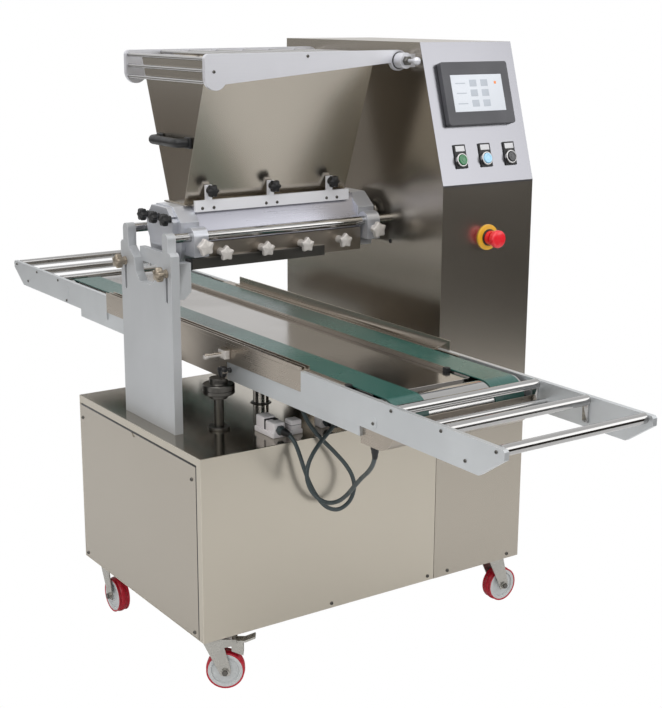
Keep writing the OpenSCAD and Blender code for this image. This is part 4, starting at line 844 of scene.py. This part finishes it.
class FILLING_OT_cabinet(bpy.types.Operator):
    """Finish the folded cabinet, its panels and the tower, and drive their screws"""

    bl_idname = "filling.cabinet"
    bl_label = "Cabinet and tower"

    def execute(self, context):
        sizes = context.scene.filling_sizes
        dressed("cabinet_shell", "cabinet_steel", sizes.sheet_edge, slot="satin_steel")
        dressed("service_panels", "satin_steel", sizes.sheet_edge)
        dressed("tower_shell", "satin_steel", sizes.sheet_edge, crease=12)
        end_screws = [(CABINET_LOW.x, y, z) for y in (CABINET_LOW.y + 0.038, CABINET_HIGH.y - 0.016)
                      for z in (CABINET_LOW.z + 0.012, CABINET_HIGH.z - 0.052)]
        foot = CABINET_LOW.z + 0.011
        front_screws = [(x, CABINET_LOW.y, foot) for x in (-0.125, 0.144, 0.203, 0.387)]
        inset, panel_back = 0.052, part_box("service_panels")[1].y
        rear_screws = [(x, panel_back, z) for x in (TOWER_LOW.x + inset, TOWER_HIGH.x - inset)
                       for z in (TOWER_LOW.z + 0.150, DECK + 0.229, TOWER_HIGH.z - 0.110)]
        head = screw_head(sizes.screw_diameter)
        make("panel_screws", joined([repeated(head, end_screws, LEFT), repeated(head, rear_screws, BACK)]),
             "dark_steel")
        screws("front_screws", sizes.screw_diameter, front_screws, FRONT)
        self.add_gap_shade()
        self.add_bearings_and_hole_shade()
        return {"FINISHED"}

    @staticmethod
    def add_gap_shade():
        """Dark strips in the gap along the end panel's top and front edges, a painted shadow for the gap's
        shade.
        """
        border, gap, face = 0.018, 0.003, CABINET_LOW.x
        inside, corner = face + 0.0018, 0.0005
        top, edge = CABINET_HIGH.z - border, CABINET_LOW.y + border
        strips = [rounded_box((face - 0.0004, edge - 0.0004, top - gap - 0.0010),
                              (inside, CABINET_HIGH.y - 0.012, top + 0.0010), corner),
                  rounded_box((face - 0.0002, edge - 0.0002, CABINET_LOW.z + 0.003),
                              (inside, edge + gap, top), corner)]
        make("panel_gaskets", joined(strips), "black_knob")

    @staticmethod
    def add_bearings_and_hole_shade():
        """Bearing rings where the rollers' shafts enter the tower, and beside them a small black shape, a
        painted shadow for the dark of a small hole.
        """
        ring = revolve([(0.0160, 0.0), (0.0215, 0.0), (0.0215, 0.0016), (0.0205, 0.0026), (0.0170, 0.0026),
                        (0.0160, 0.0018)], 56, closed=True)
        spots = [at_joint(joint, x=TOWER_LOW.x) for joint in ("feed_front_turn", "feed_rear_turn")]
        make("bearing_rings", repeated(ring, spots, LEFT), "chromed_bar", slot="roller_steel")
        # Painted shadow: the black stands in for the shade inside a small hole
        hole_shade = revolve([(0.0052, -0.0002), (0.0052, 0.0008), (0.0044, 0.0014), (0.0034, 0.0012),
                        (0.0030, 0.0004), (0.0004, 0.0003)], 28)
        make("tower_port", place(hole_shade, (TOWER_LOW.x, -0.103, DECK + 0.364), LEFT), "black_knob")


class FILLING_OT_controls(bpy.types.Operator):
    """Build the touch panel's screen, the push buttons and their legend plates on the console"""

    bl_idname = "filling.controls"
    bl_label = "Console controls"

    def execute(self, context):
        out = -Vector(JOINTS["button_green_press"]["axis"])
        slope = Vector((0.0, out.z, -out.y))
        foot = Vector((TOWER_LOW.x, TOWER_LOW.y, context.scene.filling_sizes.console_foot))
        middle = (TOWER_HIGH.x - TOWER_LOW.x) / 2

        def on_console(shape, across, up, rise=0.0):
            """A shape made flat, X across the console and Y up its slope, laid on it at a point."""
            basis = np.array([(1, 0, 0), tuple(slope), tuple(out)])
            origin = foot + Vector((middle + across, 0, 0)) + slope * up + out * rise
            return shape[0] @ basis + np.array(origin), shape[1]

        dressed("hmi_panel", "panel_plastic", 0.0016)
        self.add_screen(on_console)
        self.add_buttons(on_console)
        return {"FINISHED"}

    @staticmethod
    def add_screen(on_console):
        """The panel's glass, with tiles in two columns, three short lines and a dot that stand on it."""
        panel_up, panel_rise, tile_rise = 0.198, 0.0125, 0.0136

        def tablet(width, height, thickness=0.0004, corner=0.00018):
            """A thin rounded plate about the origin."""
            return rounded_box((-width / 2, -height / 2, 0), (width / 2, height / 2, thickness), corner)

        make("panel_screen", on_console(tablet(0.146, 0.082, 0.0012, 0.0005), 0, panel_up, panel_rise),
             "screen_glass", slot="panel_plastic")
        tile, line, dot = tablet(0.020, 0.015), tablet(0.028, 0.0022), tablet(0.006, 0.006)
        rows = (0.022, 0.0, -0.023)
        spots = [(tile, x, y) for x in (-0.012, 0.020) for y in rows] + [(line, -0.048, y) for y in rows]
        make("screen_tiles", joined([on_console(shape, x, panel_up + y, tile_rise) for shape, x, y in spots]),
             "screen_tile", slot="panel_plastic")
        make("screen_dot", on_console(dot, 0.052, panel_up + rows[0], tile_rise), "screen_dot",
             slot="panel_plastic")

    @staticmethod
    def add_buttons(on_console):
        """Three buttons in a row, each a cap in a bezel on a plate with a blank insert above it."""
        pitch, button_up = 0.071, 0.053
        plate = rounded_box((-0.0155, -0.018, -0.0002), (0.0175, 0.035, 0.0034), 0.0014)
        insert = rounded_box((-0.0115, 0.0195, 0.0030), (0.0135, 0.0315, 0.0040), 0.0004)
        bezel = revolve(np.vstack([[(0.0152, 0.0)], arc(0.0138, 0.0072, 0.0014, 0, 90),
                                   [(0.0125, 0.0086), (0.0119, 0.0078), (0.0118, 0.0030)]]), 48)
        cap = revolve(np.vstack([[(0.0113, -0.004)], arc(0.0095, 0.0102, 0.0018, 0, 90),
                                 [(0.0078, 0.0118), (0.0074, 0.0110), (0.0046, 0.0110), (0.0042, 0.0116),
                                  (0.0008, 0.0116)]]), 40)
        places = {"button_green": -pitch, "button_blue": 0.0, "button_black": pitch}
        for name, across in places.items():
            make(name + "_cap", on_console(cap, across, button_up), name, name, stands_for=name)
        for name, shape, rise, material, slot, stands_for in (
                ("legend_plates", plate, 0.0, "black_knob", "panel_plastic", None),
                ("legend_inserts", insert, 0.0, "legend_white", "panel_plastic", None),
                ("bezel_rings", bezel, 0.0006, "chromed_bar", "bezel_metal", "button_bezels")):
            row = joined([on_console(shape, across, button_up, rise) for across in places.values()])
            make(name, row, material, slot=slot, stands_for=stands_for)


class FILLING_OT_emergency_stop(bpy.types.Operator):
    """Turn the emergency stop's collar and mushroom head"""

    bl_idname = "filling.emergency_stop"
    bl_label = "Emergency stop"

    def execute(self, context):
        low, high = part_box("estop_collar")
        spot = ((low.x + high.x) / 2, TOWER_LOW.y, (low.z + high.z) / 2)
        collar = np.vstack([[(0.0287, -0.0002)], arc(0.0270, 0.0026, 0.0017, 0, 90),
                            [(0.0180, 0.0050), (0.0156, 0.0056), (0.0152, 0.0150), (0.0140, 0.0156)]])
        make("stop_collar", place(revolve(collar, 64), spot, FRONT), "estop_yellow",
             stands_for="estop_collar")
        ring = [(0.0186, 0.0046), (0.0186, 0.0078), (0.0176, 0.0090), (0.0150, 0.0092)]
        make("stop_seal", place(revolve(ring, 48), spot, FRONT), "black_knob")
        sleeve = [(0.0158, 0.0088), (0.0162, 0.0150), (0.0158, 0.0194), (0.0146, 0.0200), (0.0118, 0.0198),
                  (0.0112, 0.0157)]
        make("stop_sleeve", place(revolve(sleeve, 48), spot, FRONT), "estop_red")
        head = np.vstack([[(0.0085, 0.021), (0.0088, 0.0255), (0.0140, 0.0262)],
                          arc(0.0168, 0.0305, 0.0032, -90, 0), arc(0.0148, 0.0370, 0.0052, 0, 84, 8),
                          [(0.0090, 0.0434), (0.0020, 0.0438)]])
        make("stop_head", place(revolve(head, 60, 12, 0.025), spot, FRONT), "estop_red", "estop_button",
             stands_for="estop_button", crease=55)
        return {"FINISHED"}


class FILLING_OT_casters(bpy.types.Operator):
    """Mould the caster wheels, and finish their forks, plates, nuts and brake pedal"""

    bl_idname = "filling.casters"
    bl_label = "Casters"

    def execute(self, context):
        radius = context.scene.filling_sizes.wheel_radius
        rim, fork_half = radius - 0.0048, 0.0225
        side = np.vstack([[(rim, 0.0130)], arc(radius - 0.0024, 0.0124, 0.0016, 100, 40, 4),
                          arc(radius - 0.0115, 0.0, 0.0115, 40, 0, 5)])
        tread = revolve(np.vstack([side, side[-2::-1] * (1, -1)])[::-1], 64, closed=True)
        face = np.array([(0.0056, 0.0158), (0.0120, 0.0158), (0.0128, 0.0120), (0.0160, 0.0104),
                         (rim - 0.0085, 0.0096), (rim - 0.0070, 0.0126), (rim - 0.0020, 0.0132),
                         (rim + 0.0004, 0.0128)])
        hub = revolve(np.vstack([face, face[::-1] * (1, -1)])[::-1], 56, closed=True)
        nut = hex_nut(0.0115, 0.0050, 0.0035)
        for corner in ("fl", "fr", "bl", "br"):
            wheel, fork, joint = f"wheel_{corner}", f"fork_{corner}", JOINTS[f"caster_{corner}_roll"]
            spot, axis = Vector(joint["pos_m"]), Vector(joint["axis"])
            make(f"tread_{corner}", place(tread, spot, axis), "wheel_red", wheel, stands_for=wheel)
            make(f"hub_{corner}", place(hub, spot, axis), "wheel_hub", wheel, "wheel_red", wheel)
            dressed(fork, "zinc", 0.0006, fork)
            nuts = [place(nut, spot + axis * (fork_half * way), axis * way) for way in (-1, 1)]
            make(f"axle_nuts_{corner}", joined(nuts), "dark_steel", fork)
        dressed("caster_plates", "zinc", 0.0006)
        dressed("brake_pedal", "zinc", 0.0008, "brake_pedal")
        return {"FINISHED"}


class FILLING_OT_support(bpy.types.Operator):
    """Finish the support plate, the chrome rods and the front rail with its end plug"""

    bl_idname = "filling.support"
    bl_label = "Support plate and rods"

    def execute(self, context):
        dressed("support_plate", "support_grey", 0.0014)
        dressed("guide_rods", "chromed_bar", 0.0)
        dressed("front_rail", "dark_steel", 0.0006)
        low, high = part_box("front_rail")
        plug = rounded_box((low.x - 0.0005, low.y - 0.0009, low.z - 0.0007),
                           (low.x + 0.0105, high.y, high.z + 0.0009), 0.0008)
        make("rail_plug", plug, "black_knob")
        return {"FINISHED"}


class FILLING_OT_head(bpy.types.Operator):
    """Finish the depositing head: end plates, trough, cover, nozzle bar, rollers and strips"""

    bl_idname = "filling.head"
    bl_label = "Depositing head"

    def execute(self, context):
        sizes = context.scene.filling_sizes
        for node, material in (("end_plates", "head_plate"), ("roller_cover", "head_plate"),
                               ("trough", "trough_steel"), ("nozzle_bar", "rail_steel")):
            dressed(node, material, sizes.plate_edge, slot="head_plate")
        # The strips take a brightened tint, painted light against the hopper's shade
        dressed("hopper_strips", "strip_pale", 0.0005, slot="pale_steel")
        for node in ("feed_roller_front", "feed_roller_rear"):
            dressed(node, "chromed_bar", 0.0003, node, slot="roller_steel")
        painted("drive_unit", "machine_grey")
        strip_front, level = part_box("hopper_strips")[0].y, DECK + 0.4685
        spots = [(x, strip_front, level) for x in (-0.302, -0.274, -0.143, -0.115, 0.016, 0.044)]
        screws("strip_screws", sizes.small_screw, spots, FRONT)
        return {"FINISHED"}


class FILLING_OT_knobs(bpy.types.Operator):
    """Mould the star knobs, the clamp knobs and the black knobs"""

    bl_idname = "filling.knobs"
    bl_label = "Knobs"

    def execute(self, context):
        sizes = context.scene.filling_sizes
        lobes = sizes.knob_lobes

        def grip(name, shape, axis, turn, material, **face):
            """A knob on its joint's axis, standing on a face."""
            shape = place(shape, at_joint(name + "_turn", **face), axis, turn)
            make(name + "_grip", shape, material, name, stands_for=name)

        star = lobed_knob(sizes.star_radius, 0.022, 0.012, 0.0075, lobes, 0.27, 0.6)
        for number in range(1, 5):
            grip(f"star_knob_{number}", star, FRONT, 0.3, "pale_steel", y=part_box("nozzle_bar")[0].y)
        clamp = lobed_knob(sizes.clamp_radius, 0.010, 0.014, 0.0085, lobes, 0.26, 0.6)
        for side in ("left", "right"):
            grip(f"clamp_knob_{side}", clamp, FRONT, 0.5, "pale_steel", y=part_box("end_plates")[0].y)
        yoke = lobed_knob(sizes.yoke_radius, 0.010, 0.016, 0.0085, lobes, 0.30)
        for side in ("front", "rear"):
            grip(f"yoke_knob_{side}", yoke, LEFT, 0.2, "brass_tone", x=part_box("support_plate")[0].x)
        black = lobed_knob(sizes.black_radius, 0.008, 0.014, 0.007, 6, 0.24)
        strip_front, cover_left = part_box("hopper_strips")[0].y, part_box("roller_cover")[0].x
        hopper_spots = [(x, strip_front, DECK + 0.506) for x in (-0.285, -0.130, 0.025)]
        cover_spots = [(cover_left, y, DECK + 0.450) for y in (-0.050, 0.0, 0.050)]
        for name, spots, axis in (("hopper_knob", hopper_spots, FRONT), ("cover_knob", cover_spots, LEFT)):
            make(name + "_grips", repeated(black, spots, axis), "black_knob", stands_for=name + "s")
        return {"FINISHED"}


class FILLING_OT_hopper(bpy.types.Operator):
    """Finish the hopper and bend its bridge handle"""

    bl_idname = "filling.hopper"
    bl_label = "Hopper and handle"

    def execute(self, context):
        dressed("hopper", "hopper_steel", 0.0005)
        low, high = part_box("hopper_handle")
        middle = (low.z + high.z) / 2
        grip, corner, foot = 0.0085, 0.014, 0.012
        outer, end = low.x + grip * 0.9, high.y - 0.013
        half = [(high.x + 0.0002, end), (high.x - 0.004, end), (outer + corner, end - 0.001),
                (outer + 0.003, end - 0.005), (outer, end - corner), (outer, end * 0.4)]
        path = smooth([(x, y, middle) for x, y in half] + [(x, -y, middle) for x, y in half[::-1]], 5)
        flange = rounded_box((-foot, -foot, 0), (foot, foot, 0.006), 0.0022)
        feet = repeated(flange, [(high.x, y, middle) for y in (-end, end)], LEFT)
        make("handle_grip", joined([tube(path, grip, 18, 1.15), feet]), "black_knob",
             stands_for="hopper_handle", crease=50)
        return {"FINISHED"}


class FILLING_OT_guard(bpy.types.Operator):
    """Finish the hinged guard, its bars and its hinge"""

    bl_idname = "filling.guard"
    bl_label = "Guard"

    def execute(self, context):
        sizes = context.scene.filling_sizes
        dressed("guard_plates", "guard_pale", sizes.plate_edge, "guard", cut=self.taper())
        dressed("guard_bars", "chromed_bar", 0.0004, "guard", slot="guard_pale")
        dressed("guard_bracket", "guard_pale", 0.0008)
        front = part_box("guard_plates")[0].y
        spots = [(-0.327, front, DECK + 0.756), (-0.102, front, DECK + 0.784)]
        screws("guard_screws", sizes.small_screw, spots, FRONT, "guard")
        self.add_plugs()
        self.add_hinge()
        return {"FINISHED"}

    @staticmethod
    def taper():
        """What the guard's plates lose below their lower edge: a wedge from the front lobe to the hinge eye,
        bounded by the eye's arc."""
        low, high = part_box("guard_plates")
        hinge = np.array(JOINTS["guard_swing"]["pos_m"])[[0, 2]]
        eye, lobe, drop, clear = high.z - hinge[1], 0.025, 0.015, 0.003
        middle = np.array((low.x + lobe, high.z - 2 * lobe))
        start = middle - (0, drop)
        angles = np.radians(np.linspace(193, 270, 24))
        rim = hinge + (eye + 0.00005) * np.stack([np.cos(angles), np.sin(angles)], -1)

        def on_lobe(target):
            """Where the line from the start to a target leaves the lobe's circle."""
            along = unit(target - start)
            back = (start - middle) @ along
            return start + along * (np.sqrt(back**2 + lobe**2 - drop**2) - back)

        outline = [on_lobe(rim[0]), *rim, rim[-1] + (0.001, -clear), on_lobe(rim[-1]) + (0.0005, -clear)]
        return prism(outline, low.y - 0.01, high.y + 0.01)

    @staticmethod
    def add_hinge():
        """A dark washer where each eye of the guard meets its collar, and the nut behind the ball."""
        low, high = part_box("guard_plates")
        washer = revolve([(0.0186, 0.0004), (0.0186, 0.0017), (0.0165, 0.0017), (0.0165, 0.0004)], 48,
                         closed=True)
        make("hinge_washers", joined([place(washer, at_joint("guard_swing", y=low.y), FRONT),
                                      place(washer, at_joint("guard_swing", y=high.y), BACK)]), "black_knob")
        nut = revolve([(0.0104, 0), (0.0104, 0.0080), (0.0088, 0.0096), (0.0042, 0.0096)], 6)
        nut_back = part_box("guard_bracket")[0].y + 0.045
        make("hinge_nut", place(nut, at_joint("guard_swing", y=nut_back), FRONT), "dark_steel", crease=20)

    @staticmethod
    def add_plugs():
        """Flush plugs over the bars' ends: three bars at the guard's front, six in even steps along its top."""
        low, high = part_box("guard_bars")
        radius, drop, pitch = 0.004, 0.013, 0.023
        top = high.z + radius
        first, last = low.x + 0.015, high.x - radius
        ends = [(low.x + radius, top - drop - pitch * k) for k in range(3)]
        ends += [(first + (last - first) * k / 6, top - 2 * radius) for k in range(1, 7)]
        plug = revolve([(0.0047, -0.0003), (0.0047, 0.0001), (0.0004, 0.00014)], 28)
        sides = [repeated(plug, [(x, y, z) for x, z in ends], axis)
                 for y, axis in ((low.y, FRONT), (high.y, BACK))]
        make("guard_plugs", joined(sides), "guard_pale", "guard")


class FILLING_OT_conveyor(bpy.types.Operator):
    """Finish the conveyor: rails, bed, belts, drums, plates, bars, guides and covers"""

    bl_idname = "filling.conveyor"
    bl_label = "Conveyor"

    def execute(self, context):
        sizes = context.scene.filling_sizes
        for node, material, edge in (
                ("side_rails", "rail_steel", 0.0006), ("guide_strips", "rail_steel", 0.0004),
                ("drum_covers", "rail_steel", 0.0004), ("slider_bed", "bed_steel", 0.0006),
                ("belts", "belt_green", 0.0006), ("extension_plates", "plate_aluminium", sizes.plate_edge),
                ("tray_bars", "chromed_bar", 0.0004)):
            dressed(node, material, edge, "conveyor")
        for node in ("drive_drum", "tail_drum"):
            dressed(node, "chromed_bar", 0.0008, node)
        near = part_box("extension_plates")[0].x
        spots = [(near, way * y, BELT_TOP - down) for way in (-1, 1) for y, down in (
            (0.7285, 0.0085), (0.869, 0.009), (0.934, 0.044), (1.010, 0.008))]
        spots += [(near - 0.0008, -0.676, BELT_TOP - 0.045), (near, 0.676, BELT_TOP - 0.053)]
        screws("plate_screws", sizes.small_screw, spots, LEFT, "conveyor")
        cap = revolve([(0.0122, -0.0002), (0.0122, 0.0004), (0.0116, 0.0009), (0.0004, 0.0010)], 40)
        axles = [at_joint(joint, x=near) for joint in ("drive_drum_turn", "tail_drum_turn")]
        make("axle_caps", repeated(cap, axles, LEFT), "plate_aluminium", "conveyor")
        self.add_clamp(near)
        strip = rounded_box((near + 0.010, -0.572, BELT_TOP - 0.010),
                            (near + 0.0225, -0.4365, BELT_TOP + 0.001), 0.0008)
        make("edge_strip", strip, "rail_steel", "conveyor")
        clip = rounded_box((-0.0055, -0.006, -0.009), (0.0055, 0.006, 0.0035), 0.0012)
        clips = repeated(clip, [(near + 0.0165, -0.574, BELT_TOP), (-0.053, -0.578, BELT_TOP)])
        make("guide_clips", clips, "black_knob", "conveyor")
        return {"FINISHED"}

    @staticmethod
    def add_clamp(near):
        """A bright skin over the guide's clamp block and its lever, which swells to a round end, and the black
        grip under them."""
        middle, half = -0.150, 0.0146
        block = rounded_box((near - 0.0126, middle - half, BELT_TOP - 0.0332),
                            (near - 0.0003, middle + half, BELT_TOP - 0.0138), 0.0016)
        lever = revolve([(0.0041, 0.0), (0.0041, 0.0300), (0.0047, 0.0318), (0.0056, 0.0330), (0.0058, 0.0390),
                         (0.0050, 0.0424), (0.0020, 0.0432)], 24)
        lever = place(lever, (near - 0.0100, middle + 0.004, BELT_TOP - 0.0255), LEFT)
        make("guide_clamp_lever", joined([block, lever]), "pale_steel", "conveyor")
        grip = place(lobed_knob(0.0136, 0.0132, 0.0135, 0.005, 3, 0.20),
                     (near + 0.003, middle - 0.011, BELT_TOP - 0.058), LEFT, 0.6)
        make("guide_clamp_grip", grip, "black_knob", "conveyor")


class FILLING_OT_lift(bpy.types.Operator):
    """Finish the lift columns with their collars, and the guides and jack in the cabinet"""

    bl_idname = "filling.lift"
    bl_label = "Lift"

    def execute(self, context):
        low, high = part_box("lift_columns")
        collar, column, neck, ram, tall = 0.035, 0.011, 0.0200, 0.018, 0.245
        soft, groove = collar - 0.0016, collar - 0.0014
        profile = [(column - 0.001, -tall), (column, 0.001 - tall), (column, -0.0452), (0.0188, -0.0450),
                   (neck, -0.0438), (neck, -0.0352), (soft, -0.0350), (collar, -0.0334), (collar, -0.0262),
                   (groove, -0.0256), (groove, -0.0242), (collar, -0.0236), (collar, -0.0148), (soft, -0.0131),
                   (0.0205, -0.0130), (neck, -0.0120), (neck, -0.0010), (0.0190, 0.0)]
        spots = [(x, y, low.z + tall) for x in (low.x + collar, high.x - collar)
                 for y in (low.y + collar, high.y - collar)]
        make("columns_turned", repeated(revolve(profile, 48), spots), "dark_steel", "conveyor",
             stands_for="lift_columns")
        reach, middle = high.z - low.z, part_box("extension_plates")[0].x + 0.176
        bar = revolve([(ram - 0.001, 0.0), (ram, 0.001), (ram, reach - 0.001), (ram - 0.001, reach)], 48)
        make("ram_bar", place(bar, (middle, 0.0, low.z)), "chromed_bar", "conveyor", "dark_steel",
             "lift_columns")
        dressed("lift_guides", "dark_steel", 0.0008, slot="machine_grey")
        return {"FINISHED"}


class FILLING_OT_connectors(bpy.types.Operator):
    """Finish the connectors on the cabinet's top and the mains gland"""

    bl_idname = "filling.connectors"
    bl_label = "Connectors"

    def execute(self, context):
        a, b = Vector(CABLE_A_ROUTE[0]), Vector(CABLE_B_ROUTE[-1])

        def block(x0, y0, z0, x1, y1, z1, corner, end=a):
            """A rounded block measured from a cable's end and the deck."""
            return rounded_box((end.x + x0, end.y + y0, DECK + z0), (end.x + x1, end.y + y1, DECK + z1), corner)

        housings = [block(-0.0170, 0.022, 0.0000, 0.0170, 0.098, 0.0115, 0.0015),
                    block(-0.0145, 0.062, 0.0100, 0.0145, 0.096, 0.0370, 0.0030),
                    block(-0.0135, 0.023, 0.0090, 0.0135, 0.060, 0.0320, 0.0030),
                    block(0.0290, 0.024, 0.0000, 0.0590, 0.054, 0.0100, 0.0015),
                    block(0.0305, 0.0255, 0.0090, 0.0575, 0.0525, 0.0310, 0.0035),
                    block(-0.0140, 0.022, 0.0000, 0.0140, 0.050, 0.0300, 0.0030, b)]
        make("connector_housings", joined(housings), "connector_pale", stands_for="connectors")
        seams = [block(-0.0139, 0.0588, 0.0100, 0.0139, 0.0632, 0.0336, 0.0005),
                 block(0.0020, 0.0470, 0.0312, 0.0126, 0.0615, 0.0340, 0.0008),
                 block(0.0302, 0.0252, 0.0196, 0.0578, 0.0528, 0.0206, 0.0003)]
        make("connector_seams", joined(seams), "black_knob")
        nut = hex_nut(0.0185, 0.0100, 0.0060)
        cone = revolve([(0.0084, 0.0), (0.0084, 0.0150), (0.0074, 0.0210), (0.0050, 0.0226),
                        (0.0046, 0.0226)], 32)
        glands = [place(shape, end + Vector((0, 0.0235, 0)), FRONT) for end in (a, b) for shape in (nut, cone)]
        make("cable_glands", joined(glands), "cable_grey", slot="connector_pale", stands_for="connectors")
        tower_back, inset, bore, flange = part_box("service_panels")[1].y, 0.070, 0.0055, 0.0160
        mains = revolve([(bore, 0.0), (flange, 0.0), (flange, 0.0052), (0.0152, 0.0060), (0.0112, 0.0064),
                         (0.0110, 0.0235), (0.0100, 0.0245), (bore, 0.0245)], 40, closed=True)
        mains = place(mains, (TOWER_LOW.x + inset, tower_back, TOWER_LOW.z + inset), BACK)
        make("mains_gland", mains, "black_knob", slot="connector_pale", stands_for="connectors")
        return {"FINISHED"}


class FILLING_PT_machine(bpy.types.Panel):
    """Lists the machine's pieces and settings in the sidebar"""

    bl_idname = "FILLING_PT_machine"
    bl_label = "Filling machine"
    bl_space_type = "VIEW_3D"
    bl_region_type = "UI"
    bl_category = "Filling machine"

    def draw(self, context):
        for operator in OPERATORS:
            self.layout.operator(operator.bl_idname)
        for group in (context.scene.filling_sizes, context.scene.filling_colours, context.scene.filling_stage):
            column = self.layout.column()
            for name in group.bl_rna.properties.keys()[2:]:
                column.prop(group, name)


GROUPS = {"filling_colours": FillingColours, "filling_sizes": FillingSizes, "filling_stage": FillingStage}
OPERATORS = (FILLING_OT_stage, FILLING_OT_cables, FILLING_OT_cabinet, FILLING_OT_controls,
             FILLING_OT_emergency_stop, FILLING_OT_casters, FILLING_OT_support, FILLING_OT_head,
             FILLING_OT_knobs, FILLING_OT_hopper, FILLING_OT_guard, FILLING_OT_conveyor, FILLING_OT_lift,
             FILLING_OT_connectors)


def register():
    for kind in (*GROUPS.values(), *OPERATORS, FILLING_PT_machine):
        bpy.utils.register_class(kind)
    for name, kind in GROUPS.items():
        setattr(bpy.types.Scene, name, PointerProperty(type=kind))


def unregister():
    for name in GROUPS:
        delattr(bpy.types.Scene, name)
    for kind in reversed((*GROUPS.values(), *OPERATORS, FILLING_PT_machine)):
        bpy.utils.unregister_class(kind)


def main():
    for name in ("Cube", "Light", "Camera"):
        if name in bpy.data.objects:
            bpy.data.objects.remove(bpy.data.objects[name])
    register()
    for operator in OPERATORS:
        family, name = operator.bl_idname.split(".")
        getattr(getattr(bpy.ops, family), name)()


if __name__ == "__main__":
    main()
